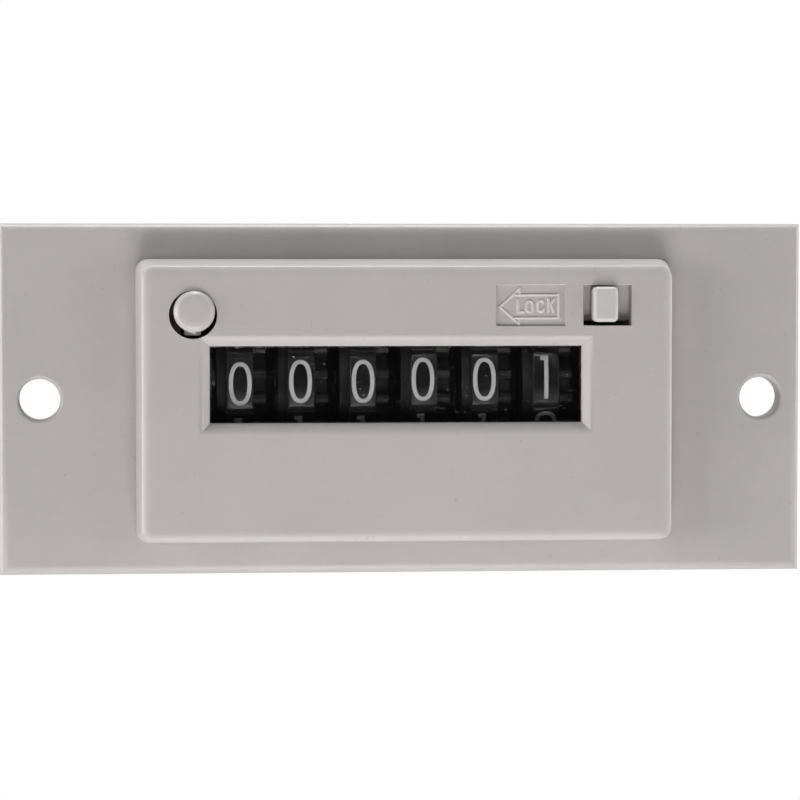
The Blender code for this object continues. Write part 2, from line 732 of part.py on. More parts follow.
def build_shafts():
    far = cheek_x + fit_gap / 2
    wheel = rod(wheel_axis, shaft_diameter / 2, (-far, far), "x", 20)
    part("wheel_shaft", wheel, "shaft_steel", Vector(wheel_axis))
    bail = rod(bail_axis, bail_hub / 2, (-far, far), "x", 16)
    part("bail_shaft", bail, "shaft_steel", Vector(bail_axis))
    inside = (-cheek_x + sheet + slide_gap, cheek_x - 1.7 * sheet)
    pinion = rod(pinion_axis, pinion_shaft_diameter / 2, inside, "x", 16)
    part("pinion_shaft", pinion, "shaft_steel", Vector(pinion_axis))
    left_end = wheel_centres[-1] - wheel_pitch * 0.369
    right_end = wheel_centres[0] + wheel_pitch * 0.59 + fit_gap + sheet
    for name, start in (("shaft_clip_left", left_end - fit_gap - sheet * 0.6),
                        ("shaft_clip_right", right_end + fit_gap)):
        ring = rod(wheel_axis, shaft_diameter / 2 + sheet, (start, start + sheet * 0.6), "x", 16, name)
        hole = rod(wheel_axis, shaft_diameter / 2 + slide_gap / 2, (start - sheet, start + 2 * sheet),
                   "x", 16, "clip_hole")
        mouth = block((start - sheet, start + 2 * sheet),
                      (wheel_axis.y - shaft_diameter * 0.34, wheel_axis.y + shaft_diameter * 0.34),
                      (wheel_axis.z - 2 * shaft_diameter, wheel_axis.z), "clip_mouth")
        cut(ring, hole, mouth)
        part(name, ring, "spring_steel", Vector((start, wheel_axis.y, wheel_axis.z)))


def cheek_outline():
    front = head_back + 4 * slide_gap
    back = armature_y - sheet
    corner = 2 * sheet
    top = cavity_z - fit_gap
    return [(front, floor_z), (front, top - corner), (front + corner, top), (back - 3 * corner, top),
            (back, top - 2 * corner), (back, floor_z + 3 * corner), (back + 2 * corner, floor_z + corner),
            (case_inner - fit_gap, floor_z + corner), (case_inner - fit_gap, floor_z)]


def build_frame():
    """Folded sheet frame: floor, two cheeks, rear tabs, hinge ears, a stem guide and a spring stop."""
    front = head_back + 4 * slide_gap
    back = case_inner - fit_gap
    frame = block((-cheek_x + sheet / 2, cheek_x - sheet / 2), (front + slide_gap, back - slide_gap),
                  (floor_z, floor_z + sheet))
    for side in (-1, 1):
        ends = sorted((side * cheek_x, side * (cheek_x - sheet)))
        join(frame, plate_from_outline(cheek_outline(), ends, "x", name="cheek"))
        tab_x = sorted((side * (cheek_x - sheet / 2), side * (cheek_x - 7 * sheet)))
        join(frame, block(tab_x, (tab_y, tab_y + sheet), (floor_z + sheet / 2, floor_z + 6 * sheet),
                          "rear_tab"))
        ear_x = sorted((side * (magnet_half + 0.4 * sheet), side * (magnet_half + 1.4 * sheet)))
        ear = block(ear_x, (armature_axis.y - 1.2 * sheet, armature_axis.y + 1.2 * sheet),
                    (floor_z + sheet / 2, armature_axis.z + 1.1 * sheet), "hinge_ear")
        join(frame, ear)
    lug_y = guide_lug_y()
    lug = block((-cheek_x + sheet / 2, button_x + stem_diameter / 2 + 6 * slide_gap), (lug_y, lug_y + sheet),
                (button_z - stem_diameter, button_z + stem_diameter * 0.95), "stem_guide")
    join(frame, lug)
    stop = block((spring_x() - 1.9 * sheet, spring_x() + 1.9 * sheet), (stop_y(), stop_y() + sheet),
                 (floor_z + sheet / 2, spring_z() + 2 * sheet), "spring_stop")
    join(frame, stop)
    notch = block((-cheek_x - sheet, -cheek_x + 2 * sheet),
                  (front - sheet, head_back + button_travel + 2 * fit_gap),
                  (button_z - button_diameter / 2 - fit_gap, cavity_z + sheet), "button_notch")
    cut(frame, notch)
    cut(frame, rod((button_x, 0, button_z), stem_diameter / 2 + slide_gap * 1.5,
                   (lug_y - sheet, lug_y + 2 * sheet), "y", 20, "stem_hole"))
    through = (-cheek_x - sheet, cheek_x + sheet)
    cut(frame, rod(wheel_axis, shaft_diameter / 2 + slide_gap, through, "x", 20, "shaft_hole"))
    cut(frame, rod(bail_axis, bail_hub / 2 + slide_gap, through, "x", 16, "bail_hole"))
    past_ears = magnet_half + 3 * sheet
    cut(frame, rod(armature_axis, sheet / 2 + slide_gap, (-past_ears, past_ears), "x", 16, "hinge_hole"))
    for side in (-1, 1):
        cut(frame, rod((side * screw_x(), 0, screw_z()), case_screw_shank / 2 + 2 * slide_gap,
                       (tab_y - sheet, tab_y + 2 * sheet), "y", 16, "tab_hole"))
    return part("mechanism_frame", frame, "frame_steel")


def stop_y():
    return armature_y + return_spring_room


def spring_x():
    return magnet_half + 3.7 * sheet


def spring_z():
    return (bail_axis.z + pinion_axis.z) / 2


def screw_x():
    return cheek_x - 4 * sheet


def screw_z():
    return floor_z + 3.4 * sheet


def build_magnet():
    plate = yoke_sheet
    flange = flange_radius
    yoke = block((-magnet_half, magnet_half), (core_y, yoke_y + plate), (yoke_low, yoke_low + plate))
    narrow = magnet_half - slide_gap
    upright = block((-narrow, narrow), (yoke_y, yoke_y + plate - slide_gap),
                    (yoke_low + plate / 2, coil_z + flange), "yoke_back")
    join(yoke, upright)
    cut(yoke, rod((0, 0, coil_z), core_diameter * 0.3 + slide_gap, (yoke_y - sheet, yoke_y + 3 * sheet),
                  "y", 20, "rivet_hole"))
    part("magnet_yoke", yoke, "soft_iron")
    radius = core_diameter / 2
    stub = core_diameter * 0.3
    length = bobbin_end - core_y
    profile = [(0.0, 0.0), (radius * 0.94, 0.0), (radius, radius * 0.06), (radius, length),
               (stub, length), (stub, length + fit_gap + plate + slide_gap),
               (0.0, length + fit_gap + plate + slide_gap)]
    core = turned(profile, "y", (0, core_y, coil_z), 20, "core")
    part("magnet_core", core, "soft_iron", Vector((0, core_y, coil_z)))
    tube = radius + slide_gap * 1.5
    barrel = tube + 0.8 * sheet
    bobbin = rounded_block((-flange, flange), (bobbin_y, bobbin_y + sheet),
                           (coil_z - flange, coil_z + flange), 1.5 * sheet, 1)
    far = rounded_block((-flange, flange), (bobbin_end - sheet, bobbin_end),
                        (coil_z - flange, coil_z + flange), 1.5 * sheet, 1, "far_flange")
    between = (bobbin_y + sheet / 2, bobbin_end - sheet / 2)
    join(bobbin, rod((0, 0, coil_z), barrel, between, "y", 24, "barrel"))
    join(bobbin, far)
    cut(bobbin, rod((0, 0, coil_z), tube, (bobbin_y - sheet, bobbin_end + sheet), "y", 24, "core_hole"))
    part("bobbin", bobbin, "bobbin_plastic")
    inner = barrel + slide_gap
    wound = [(inner, 0.0), (inner, coil_length - fit_gap)]
    wound += [(coil_radius, coil_length - fit_gap), (coil_radius, 0.0)]
    winding = turned(wound, "y", (0, bobbin_y + sheet + fit_gap / 2, coil_z), 28, "winding")
    part("coil_winding", winding, "copper_wire")


def build_armature():
    plate = 1.2 * sheet
    axis = armature_axis
    armature = block((-magnet_half, magnet_half), (armature_y, armature_y + plate),
                     (axis.z, coil_z + coil_radius))
    barrel = magnet_half + slide_gap
    join(armature, rod(axis, 1.15 * sheet, (-barrel, barrel), "x", 20, "barrel"))
    cut(armature, rod(axis, sheet / 2 + slide_gap, (-2 * magnet_half, 2 * magnet_half), "x", 16, "pin_hole"))
    part("armature", armature, "soft_iron", Vector(axis))
    pin_end = magnet_half + 1.7 * sheet
    pin = rod(axis, sheet / 2, (-pin_end, pin_end), "x", 16)
    part("armature_pin", pin, "shaft_steel", Vector(axis))
    build_anchor()
    start = armature_y + fit_gap + spring_wire
    stop = stop_y() - fit_gap - spring_wire
    centre = (spring_x(), 0.0, spring_z())
    spring = tube_along(coil_points(centre, spring_radius, (start, stop), 6), spring_wire, "spring")
    part("return_spring", spring, "spring_steel")


def build_anchor():
    """Strap along the armature and a forked arm that straddles the star wheel."""
    star_x = wheel_centres[0] + wheel_pitch * 0.59 + fit_gap
    middle = spring_z()
    half = 1.2 * sheet
    strap_y = (armature_y - slide_gap - 0.85 * sheet, armature_y - slide_gap)
    anchor = block((2 * sheet, star_x + sheet * 0.9), strap_y, (middle - half, middle + half))
    w = wheel_axis
    clear = star_radius + fit_gap
    neck = w.y + clear + 2.6 * sheet
    low, high = middle - half + slide_gap, middle + half - slide_gap
    outline = [(strap_y[1] - slide_gap, low), (strap_y[1] - slide_gap, high), (neck, high)]
    for radius, turn in ((clear + 1.9 * sheet, 28), (clear + 1.2 * sheet, 50), (clear + 0.3 * sheet, 49),
                         (clear + 0.3 * sheet, 30), (clear + 0.3 * sheet, 5), (clear + 0.3 * sheet, -14),
                         (clear + 0.3 * sheet, -30), (clear + 1.3 * sheet, -34), (clear + 1.6 * sheet, -16)):
        y, z = polar(radius, math.radians(turn))
        outline.append((w.y + y, w.z + z))
    outline.append((neck, low))
    arm = plate_from_outline(outline, (star_x + slide_gap, star_x + sheet - slide_gap), "x", name="fork")
    join(anchor, arm)
    part("drive_anchor", anchor, "spring_steel", Vector((star_x, armature_axis.y, armature_axis.z)))


def build_case():
    half_x = sleeve_width / 2
    half_z = sleeve_height / 2
    start = 4 * slide_gap
    step = sleeve_reach + fit_gap
    lip_x = half_x + fit_gap * 0.7
    lip_z = half_z + fit_gap * 0.7
    case = rounded_block((-half_x, half_x), (step, case_end), (-half_z, half_z), case_wall * 1.3, 1)
    collar = rounded_block((-lip_x - case_wall, lip_x + case_wall), (start, start + collar_reach),
                           (-lip_z - case_wall, lip_z + case_wall), case_wall * 1.5, 1, "collar")
    join(case, collar)
    cut(case, block((-lip_x, lip_x), (start - sheet, step), (-lip_z, lip_z), "sleeve_room"))
    cut(case, block((-cavity_x, cavity_x), (start, case_inner), (-cavity_z, cavity_z), "case_room"))
    window = hook_width / 2 + fit_gap
    cut(case, block((-window, window), (sleeve_reach * 0.4 - fit_gap, sleeve_reach * 0.9 + fit_gap),
                    (-half_z - 4 * case_wall, half_z + 4 * case_wall), "hook_windows"))
    for side in (-1, 1):
        slot_half = terminal_thickness / 2 + slide_gap * 1.5
        slot_tall = terminal_width / 2 + slide_gap * 1.5
        cut(case, block((side * terminal_x - slot_half, side * terminal_x + slot_half),
                        (case_inner - sheet, case_end + sheet),
                        (terminal_z - slot_tall, terminal_z + slot_tall), "terminal_slot"))
        cut(case, rod((side * screw_x(), 0, screw_z()), case_screw_shank / 2 + 2 * slide_gap,
                      (case_inner - sheet, case_end + sheet), "y", 16, "screw_way"))
    return part("rear_case", case, "case_plastic")


def build_rear_fittings():
    for side, label in ((-1, "left"), (1, "right")):
        x = side * terminal_x
        half = terminal_width / 2
        start = case_inner - terminal_depth
        point = terminal_width / 4
        end = case_end + terminal_proud
        blade = [(start, terminal_z - half), (start, terminal_z + half), (end - point, terminal_z + half),
                 (end, terminal_z + half * 0.5), (end, terminal_z - half * 0.5),
                 (end - point, terminal_z - half)]
        terminal = plate_from_outline(blade, (x - terminal_thickness / 2, x + terminal_thickness / 2), "x")
        cut(terminal, rod((0, end - 2.2 * point, terminal_z), terminal_hole / 2,
                          (x - terminal_thickness, x + terminal_thickness), "x", 16, "terminal_hole"))
        part(f"terminal_{label}", terminal, "terminal_brass")
        lead_y = case_inner - terminal_depth * 0.75
        lead_start = (side * (coil_radius + sheet), bobbin_end - 1.6 * sheet, coil_z + coil_radius / 2)
        lead_knee = (side * (coil_radius + 2.6 * sheet), bobbin_end - 0.4 * sheet, terminal_z - 0.8 * sheet)
        lead_end = (x - side * (terminal_thickness / 2 + fit_gap + slide_gap), lead_y, terminal_z)
        lead_turn = (lead_end[0] - side * sheet, lead_y, terminal_z)
        lead = tube_along([lead_start, lead_knee, lead_turn, lead_end], lead_radius, "lead")
        part(f"coil_lead_{label}", lead, "copper_wire")
        head = case_screw_head / 2
        shank = case_screw_shank / 2
        reach = case_end + slide_gap - tab_y + fit_gap
        top = reach + head * 0.65
        profile = [(0.0, 0.0), (shank * 0.7, 0.0), (shank, shank * 0.4), (shank, reach), (head, reach),
                   (head, reach + head * 0.43), (head * 0.75, top), (0.0, top)]
        foot = Vector((side * screw_x(), case_end + slide_gap - reach, screw_z()))
        screw = turned(profile, "y", foot, 20, "screw")
        top += foot.y
        slot = block((foot.x - 2 * head, foot.x + 2 * head), (top - head * 0.35, top + sheet),
                     (foot.z - head * 0.13, foot.z + head * 0.13), "driver_slot")
        cut(screw, slot)
        part(f"case_screw_{label}", screw, "shaft_steel", foot)
        build_clip(side, label)


def build_clip(side, label):
    """A bent spring leaf that lies on the case's side and presses on the back of the plate."""
    wall = sleeve_width / 2 + slide_gap
    lip = sleeve_width / 2 + fit_gap * 0.7 + case_wall
    start = 4 * slide_gap + collar_reach + fit_gap
    bend = start + clip_length
    leaf = clip_sheet
    tip_x = lip + 6 * leaf
    folded = [(wall, start), (wall, bend + 0.75 * leaf), (wall + 1.5 * leaf, bend + 2.5 * leaf),
              (wall + 3.75 * leaf, bend + 2.5 * leaf), (wall + 5.25 * leaf, bend + 0.75 * leaf),
              (tip_x + leaf, fit_gap), (tip_x, fit_gap), (wall + 4.25 * leaf, bend + leaf / 4),
              (wall + 3.4 * leaf, bend + 1.5 * leaf), (wall + 1.9 * leaf, bend + 1.5 * leaf),
              (wall + leaf, bend + leaf / 4), (wall + leaf, start)]
    outline = [(side * x, y) for x, y in folded]
    clip = plate_from_outline(outline, (-clip_height / 2, clip_height / 2), "z")
    return part(f"clip_{label}", clip, "spring_steel")


build_plate()
build_bezel()
build_lens()
button = build_button()
build_reset_spring()
build_lock_slide()
wheels = [build_wheel(number) for number in range(wheel_count)]
bail = build_bail()
pinions = [build_pinion(number) for number in range(wheel_count - 1)]
build_shafts()
build_frame()
build_magnet()
build_armature()
build_case()
build_rear_fittings()

for pinion in pinions:
    ride(pinion, bail)
ride(parts.objects["pinion_shaft"], bail)
ride(parts.objects["drive_anchor"], parts.objects["armature"])
bpy.context.view_layer.update()
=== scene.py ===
import math
import random

import bmesh
import bpy
from mathutils import Matrix, Vector


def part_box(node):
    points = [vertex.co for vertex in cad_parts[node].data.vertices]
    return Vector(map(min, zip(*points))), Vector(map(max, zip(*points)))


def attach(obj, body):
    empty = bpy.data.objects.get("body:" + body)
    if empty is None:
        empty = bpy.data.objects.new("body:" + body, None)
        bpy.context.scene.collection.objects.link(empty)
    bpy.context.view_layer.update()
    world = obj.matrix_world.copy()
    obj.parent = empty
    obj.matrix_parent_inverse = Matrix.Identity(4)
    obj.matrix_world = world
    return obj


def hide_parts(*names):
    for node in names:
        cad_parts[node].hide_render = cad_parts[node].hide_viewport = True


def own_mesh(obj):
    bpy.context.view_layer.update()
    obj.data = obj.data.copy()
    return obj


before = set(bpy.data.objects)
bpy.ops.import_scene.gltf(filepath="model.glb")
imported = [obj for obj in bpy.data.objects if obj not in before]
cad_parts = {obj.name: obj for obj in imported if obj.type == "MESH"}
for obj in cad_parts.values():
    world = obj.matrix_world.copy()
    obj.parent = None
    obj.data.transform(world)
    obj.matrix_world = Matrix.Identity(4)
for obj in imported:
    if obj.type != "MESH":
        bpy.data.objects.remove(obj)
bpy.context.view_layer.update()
mm = 0.001
random.seed(26)

# small helpers


def clearSelection():
    if bpy.context.object and bpy.context.object.mode != "OBJECT":
        bpy.ops.object.mode_set(mode="OBJECT")
    bpy.ops.object.select_all(action="DESELECT")


def choose(piece, *others):
    clearSelection()
    for each in (piece, *others):
        each.select_set(True)
    bpy.context.view_layer.objects.active = piece


# the place goes into the mesh, so the object itself stays at the origin
def settle(piece):
    choose(piece)
    bpy.ops.object.transform_apply(location=True, rotation=True, scale=True)
    return piece


# a cube stretched between two corners given in millimetres
def addBlock(name, low, high):
    clearSelection()
    low, high = Vector(low) * mm, Vector(high) * mm
    bpy.ops.mesh.primitive_cube_add(size=1.0, location=(low + high) / 2)
    block = bpy.context.object
    block.name = name
    block.scale = high - low
    return settle(block)


# a round bar along one axis, from reach[0] to reach[1]
def addRod(name, centre, radius, reach, axis="y", vertices=64):
    clearSelection()
    middle = Vector(centre)
    middle["xyz".index(axis)] = (reach[0] + reach[1]) / 2
    turns = {"x": (0, math.radians(90), 0), "y": (math.radians(90), 0, 0), "z": (0, 0, 0)}
    bpy.ops.mesh.primitive_cylinder_add(vertices=vertices, radius=radius * mm, rotation=turns[axis],
                                        depth=(reach[1] - reach[0]) * mm, location=middle * mm)
    rod = bpy.context.object
    rod.name = name
    return settle(rod)


def enterEdit(piece, kind):
    choose(piece)
    bpy.ops.object.mode_set(mode="EDIT")
    bpy.ops.mesh.select_mode(type=kind)
    bpy.ops.mesh.select_all(action="DESELECT")
    return bmesh.from_edit_mesh(piece.data)


def leaveEdit():
    bpy.ops.object.mode_set(mode="OBJECT")


# goes into edit mode with only the faces selected that the test takes; it gets middle and normal
def pickFaces(piece, test):
    work = enterEdit(piece, "FACE")
    for face in work.faces:
        if test(face.calc_center_median() / mm, face.normal):
            face.select_set(True)
    bmesh.update_edit_mesh(piece.data)


# the same for edges; the test gets both ends in millimetres
def pickEdges(piece, test):
    work = enterEdit(piece, "EDGE")
    for edge in work.edges:
        if test(edge.verts[0].co / mm, edge.verts[1].co / mm):
            edge.select_set(True)
    bmesh.update_edit_mesh(piece.data)


def everyFace(middle, normal):
    return True


def roundPicked(width, segments):
    bpy.ops.mesh.bevel(offset=width * mm, segments=segments, affect="EDGES", profile=0.5, clamp_overlap=False)
    leaveEdit()


def bothEnds(test):
    return lambda a, b: test(a) and test(b)


def bothAt(axis, value):
    return bothEnds(lambda v: abs(v[axis] - value) < 0.004)


def alongAxis(axis):
    return lambda a, b: abs((a - b).normalized()[axis]) > 0.9


# adds or cuts other solids with the Boolean modifier, applies it and throws the tools away
def combine(piece, operation, *tools):
    for tool in tools:
        choose(piece)
        step = piece.modifiers.new(tool.name, "BOOLEAN")
        step.operation = operation
        step.solver = "EXACT"
        step.object = tool
        bpy.ops.object.modifier_apply(modifier=step.name)
        bpy.data.objects.remove(tool, do_unlink=True)
    return piece


# smooth shading that still leaves the large flat faces flat
def shadeByAngle(piece, degrees=35):
    choose(piece)
    bpy.ops.object.shade_smooth_by_angle(angle=math.radians(degrees))
    flat = piece.modifiers.new("flat faces", "WEIGHTED_NORMAL")
    flat.keep_sharp = True
    bpy.ops.object.modifier_apply(modifier=flat.name)


def joinPieces(piece, *others):
    choose(piece, *others)
    bpy.ops.object.join()
    return piece


def copyPiece(piece, name):
    twin = piece.copy()
    twin.data = piece.data.copy()
    twin.name = name
    twin.data.name = name
    bpy.context.scene.collection.objects.link(twin)
    return twin


def movePiece(piece, offset):
    choose(piece)
    bpy.ops.transform.translate(value=Vector(offset) * mm)
    return settle(piece)


# turned about the X axis line through a pivot, the way a wheel turns on its shaft
def turnAboutX(piece, degrees, pivot):
    place = Matrix.Translation(Vector(pivot) * mm)
    piece.data.transform(place @ Matrix.Rotation(math.radians(degrees), 4, "X") @ place.inverted())
    return piece


def dress(piece, material, body, slot, *nodes):
    piece.data.materials.clear()
    piece.data.materials.append(material)
    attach(piece, body)
    if nodes:
        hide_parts(*nodes)
    return piece


# a softened copy of a CAD node: doubles merged, flat faces joined again, sharp edges rounded
def softCopy(node, name, width, segments=2, angle=35):
    clearSelection()
    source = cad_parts[node]
    piece = copyPiece(source, name)
    piece.parent = None
    piece.matrix_world = Matrix.Identity(4)
    choose(piece)
    bpy.ops.object.mode_set(mode="EDIT")
    bpy.ops.mesh.select_all(action="SELECT")
    bpy.ops.mesh.remove_doubles(threshold=0.0005 * mm)
    bpy.ops.mesh.dissolve_limited(angle_limit=math.radians(0.5))
    leaveEdit()
    soft = piece.modifiers.new("soft edges", "BEVEL")
    soft.width = width * mm
    soft.segments = segments
    soft.limit_method = "ANGLE"
    soft.angle_limit = math.radians(angle)
    soft.miter_outer = "MITER_ARC"
    bpy.ops.object.modifier_apply(modifier=soft.name)
    shadeByAngle(piece, angle)
    return piece


# shader groups


# a group with its named inputs at their usual values, and its named outputs
def newGroup(name, inputs, outputs):
    group = bpy.data.node_groups.new(name, "ShaderNodeTree")
    kinds = {1: "NodeSocketFloat", 3: "NodeSocketVector", 4: "NodeSocketColor"}
    for label, value in inputs.items():
        kind = kinds[len(value) if isinstance(value, tuple) else 1]
        socket = group.interface.new_socket(name=label, in_out="INPUT", socket_type=kind)
        socket.default_value = value
    for label in outputs:
        kind = kinds[4 if label == "Colour" else 1]
        group.interface.new_socket(name=label, in_out="OUTPUT", socket_type=kind)
    return group, group.nodes.new("NodeGroupInput"), group.nodes.new("NodeGroupOutput"), objectPlace(group)


def makeNoise(tree, vector, size, detail=3.0, rough=0.55):
    noise = tree.nodes.new("ShaderNodeTexNoise")
    noise.inputs["Scale"].default_value = size
    noise.inputs["Detail"].default_value = detail
    noise.inputs["Roughness"].default_value = rough
    tree.links.new(vector, noise.inputs["Vector"])
    return noise


# a socket takes a number or a colour as it is, and anything else as a link
def feed(tree, socket, value):
    if isinstance(value, (int, float, tuple)):
        socket.default_value = value
    else:
        tree.links.new(value, socket)


def makeMath(tree, operation, *values):
    node = tree.nodes.new("ShaderNodeMath")
    node.operation = operation
    for socket, value in zip(node.inputs, values):
        feed(tree, socket, value)
    return node.outputs[0]


def makeMix(tree, factor, first, second):
    node = tree.nodes.new("ShaderNodeMix")
    node.data_type = "RGBA"
    for place, value in ((0, factor), (6, first), (7, second)):
        feed(tree, node.inputs[place], value)
    return node.outputs[2]


def makeRange(tree, value, low, high, newLow=0.0, newHigh=1.0):
    node = tree.nodes.new("ShaderNodeMapRange")
    node.clamp = True
    tree.links.new(value, node.inputs["Value"])
    for name, number in (("From Min", low), ("From Max", high), ("To Min", newLow), ("To Max", newHigh)):
        node.inputs[name].default_value = number
    return node.outputs["Result"]


def objectPlace(tree):
    return tree.nodes.new("ShaderNodeTexCoord").outputs["Object"]


def grey(tone):
    return (tone, tone, tone, 1)


# the shader behind a factor of 1 is the second one
def mixShaders(tree, factor, first, second, output):
    mix = tree.nodes.new("ShaderNodeMixShader")
    for socket, value in zip(mix.inputs, (factor, first, second)):
        tree.links.new(value, socket)
    tree.links.new(mix.outputs[0], output)


# moulded plastic: slow clouding of the colour, tiny specks and the fine grain of a sparked mould
def buildMouldedSkin():
    inputs = {"Colour": grey(0.4), "Clouding": grey(0.36), "Speck": grey(0.2), "Shine": 0.5}
    group, given, out, place = newGroup("mouldedSkin", inputs, ("Colour", "Roughness", "Height"))
    slow = makeNoise(group, place, 95.0, 4.0, 0.6)
    middle = makeNoise(group, place, 900.0, 3.0, 0.6)
    fine = makeNoise(group, place, 6500.0, 2.0, 0.7)
    specks = makeNoise(group, place, 2600.0, 1.0, 0.4)
    cloud = makeRange(group, slow.outputs["Fac"], 0.36, 0.66)
    mottle = makeRange(group, middle.outputs["Fac"], 0.3, 0.7)
    blend = makeMath(group, "MULTIPLY_ADD", mottle, 0.35, makeMath(group, "MULTIPLY", cloud, 0.65))
    tone = makeMix(group, blend, given.outputs["Colour"], given.outputs["Clouding"])
    dots = makeRange(group, specks.outputs["Fac"], 0.735, 0.78, 0.0, 0.5)
    group.links.new(makeMix(group, dots, tone, given.outputs["Speck"]), out.inputs["Colour"])
    uneven = makeMath(group, "SUBTRACT", middle.outputs["Fac"], 0.5)
    shine = makeMath(group, "MULTIPLY_ADD", uneven, 0.16, given.outputs["Shine"])
    group.links.new(shine, out.inputs["Roughness"])
    coarse = makeMath(group, "MULTIPLY", middle.outputs["Fac"], 0.25)
    group.links.new(makeMath(group, "MULTIPLY_ADD", fine.outputs["Fac"], 0.75, coarse), out.inputs["Height"])
    return group


# drawn or rolled metal: fine streaks along one direction and a few dull stains
def buildWorkedMetal():
    inputs = {"Colour": grey(0.5), "Stain": grey(0.4), "Stretch": (1.0, 0.05, 1.0), "Shine": 0.3}
    group, given, out, place = newGroup("workedMetal", inputs, ("Colour", "Roughness", "Height"))
    stretch = group.nodes.new("ShaderNodeVectorMath")
    stretch.operation = "MULTIPLY"
    group.links.new(place, stretch.inputs[0])
    group.links.new(given.outputs["Stretch"], stretch.inputs[1])
    streaks = makeNoise(group, stretch.outputs[0], 7000.0, 3.0, 0.65)
    stains = makeNoise(group, place, 420.0, 4.0, 0.6)
    stained = makeRange(group, stains.outputs["Fac"], 0.45, 0.72)
    lines = makeRange(group, streaks.outputs["Fac"], 0.3, 0.75)
    share = makeMath(group, "MULTIPLY_ADD", lines, 0.35, makeMath(group, "MULTIPLY", stained, 0.6))
    tone = makeMix(group, share, given.outputs["Colour"], given.outputs["Stain"])
    group.links.new(tone, out.inputs["Colour"])
    shine = makeMath(group, "MULTIPLY_ADD", share, 0.18, given.outputs["Shine"])
    group.links.new(shine, out.inputs["Roughness"])
    group.links.new(streaks.outputs["Fac"], out.inputs["Height"])
    return group


# dust that has settled: sparse specks and a faint film, as a mask
def buildDustMask():
    group, given, out, place = newGroup("settledDust", {"Amount": 0.5}, ("Mask",))
    specks = makeNoise(group, place, 3800.0, 2.0, 0.5)
    film = makeNoise(group, place, 260.0, 3.0, 0.6)
    dots = makeRange(group, specks.outputs["Fac"], 0.68, 0.74)
    veil = makeRange(group, film.outputs["Fac"], 0.45, 0.75, 0.0, 0.25)
    both = makeMath(group, "MAXIMUM", dots, veil)
    group.links.new(makeMath(group, "MULTIPLY", both, given.outputs["Amount"]), out.inputs["Mask"])
    return group


mouldedSkin = buildMouldedSkin()
workedMetal = buildWorkedMetal()
settledDust = buildDustMask()
print("shader groups ready")

# materials


def newMaterial(name):
    material = bpy.data.materials.new(name)
    material.use_nodes = True
    tree = material.node_tree
    return material, tree, tree.nodes["Principled BSDF"]


def addGroup(tree, group, **values):
    node = tree.nodes.new("ShaderNodeGroup")
    node.node_tree = group
    for label, value in values.items():
        node.inputs[label].default_value = value
    return node


def addBump(tree, height, shader, depth):
    bump = tree.nodes.new("ShaderNodeBump")
    bump.inputs["Strength"].default_value = 1.0
    bump.inputs["Distance"].default_value = depth * mm
    tree.links.new(height, bump.inputs["Height"])
    tree.links.new(bump.outputs["Normal"], shader.inputs["Normal"])


dustTone = (0.3, 0.3, 0.29, 1)


# every plastic of the counter comes from this one, with its own tones
def mouldedPlastic(name, colour, clouding, speck, shine, grain=0.006, dust=0.0, gloss=0.5):
    material, tree, shader = newMaterial(name)
    skin = addGroup(tree, mouldedSkin, Colour=(*colour, 1), Clouding=(*clouding, 1), Speck=(*speck, 1),
                    Shine=shine)
    tone = skin.outputs["Colour"]
    if dust:
        layer = addGroup(tree, settledDust, Amount=dust)
        tone = makeMix(tree, layer.outputs["Mask"], tone, dustTone)
    tree.links.new(tone, shader.inputs["Base Color"])
    tree.links.new(skin.outputs["Roughness"], shader.inputs["Roughness"])
    shader.inputs["IOR"].default_value = 1.5
    shader.inputs["Specular IOR Level"].default_value = gloss
    addBump(tree, skin.outputs["Height"], shader, grain)
    return material


def workedMetalFinish(name, colour, stain, stretch, shine, grain=0.002):
    material, tree, shader = newMaterial(name)
    metal = addGroup(tree, workedMetal, Colour=(*colour, 1), Stain=(*stain, 1), Stretch=stretch, Shine=shine)
    tree.links.new(metal.outputs["Colour"], shader.inputs["Base Color"])
    tree.links.new(metal.outputs["Roughness"], shader.inputs["Roughness"])
    shader.inputs["Metallic"].default_value = 1.0
    addBump(tree, metal.outputs["Height"], shader, grain)
    return material


# tone, clouding and speck, then shine, grain, dust and gloss
plasticLooks = {
    "bezel": ((0.445, 0.417, 0.409), (0.415, 0.388, 0.381), (0.300, 0.280, 0.269), 0.43),
    # the legend is a lighter copy of the bezel plastic: a painted highlight for its raised strokes catching
    # the light
    "legend": ((0.550, 0.516, 0.506), (0.517, 0.484, 0.474), (0.385, 0.361, 0.349), 0.6, 0.002),
    "plate": ((0.425, 0.398, 0.390), (0.390, 0.365, 0.358), (0.280, 0.261, 0.250), 0.45, 0.008),
    "button": ((0.465, 0.435, 0.425), (0.428, 0.399, 0.389), (0.307, 0.287, 0.277), 0.36, 0.004),
    "slide": ((0.530, 0.501, 0.489), (0.488, 0.460, 0.449), (0.350, 0.327, 0.316), 0.4, 0.004),
    "wheel": ((0.005, 0.005, 0.0055), (0.007, 0.007, 0.007), (0.015, 0.015, 0.015), 0.42, 0.003, 0.2, 0.1),
    "pad": ((0.003, 0.003, 0.003), (0.004, 0.004, 0.004), (0.015, 0.015, 0.015), 0.2, 0.002, 0.05, 0.32),
    "case": ((0.045, 0.045, 0.048), (0.038, 0.038, 0.04), (0.07, 0.07, 0.07), 0.5, 0.01, 0.25),
    "pinion": ((0.72, 0.70, 0.64), (0.66, 0.64, 0.58), (0.5, 0.48, 0.42), 0.4, 0.003),
    "bail": ((0.48, 0.47, 0.44), (0.43, 0.42, 0.39), (0.3, 0.3, 0.28), 0.45, 0.004),
    "bobbin": ((0.68, 0.66, 0.57), (0.62, 0.60, 0.51), (0.45, 0.42, 0.35), 0.45, 0.004),
}
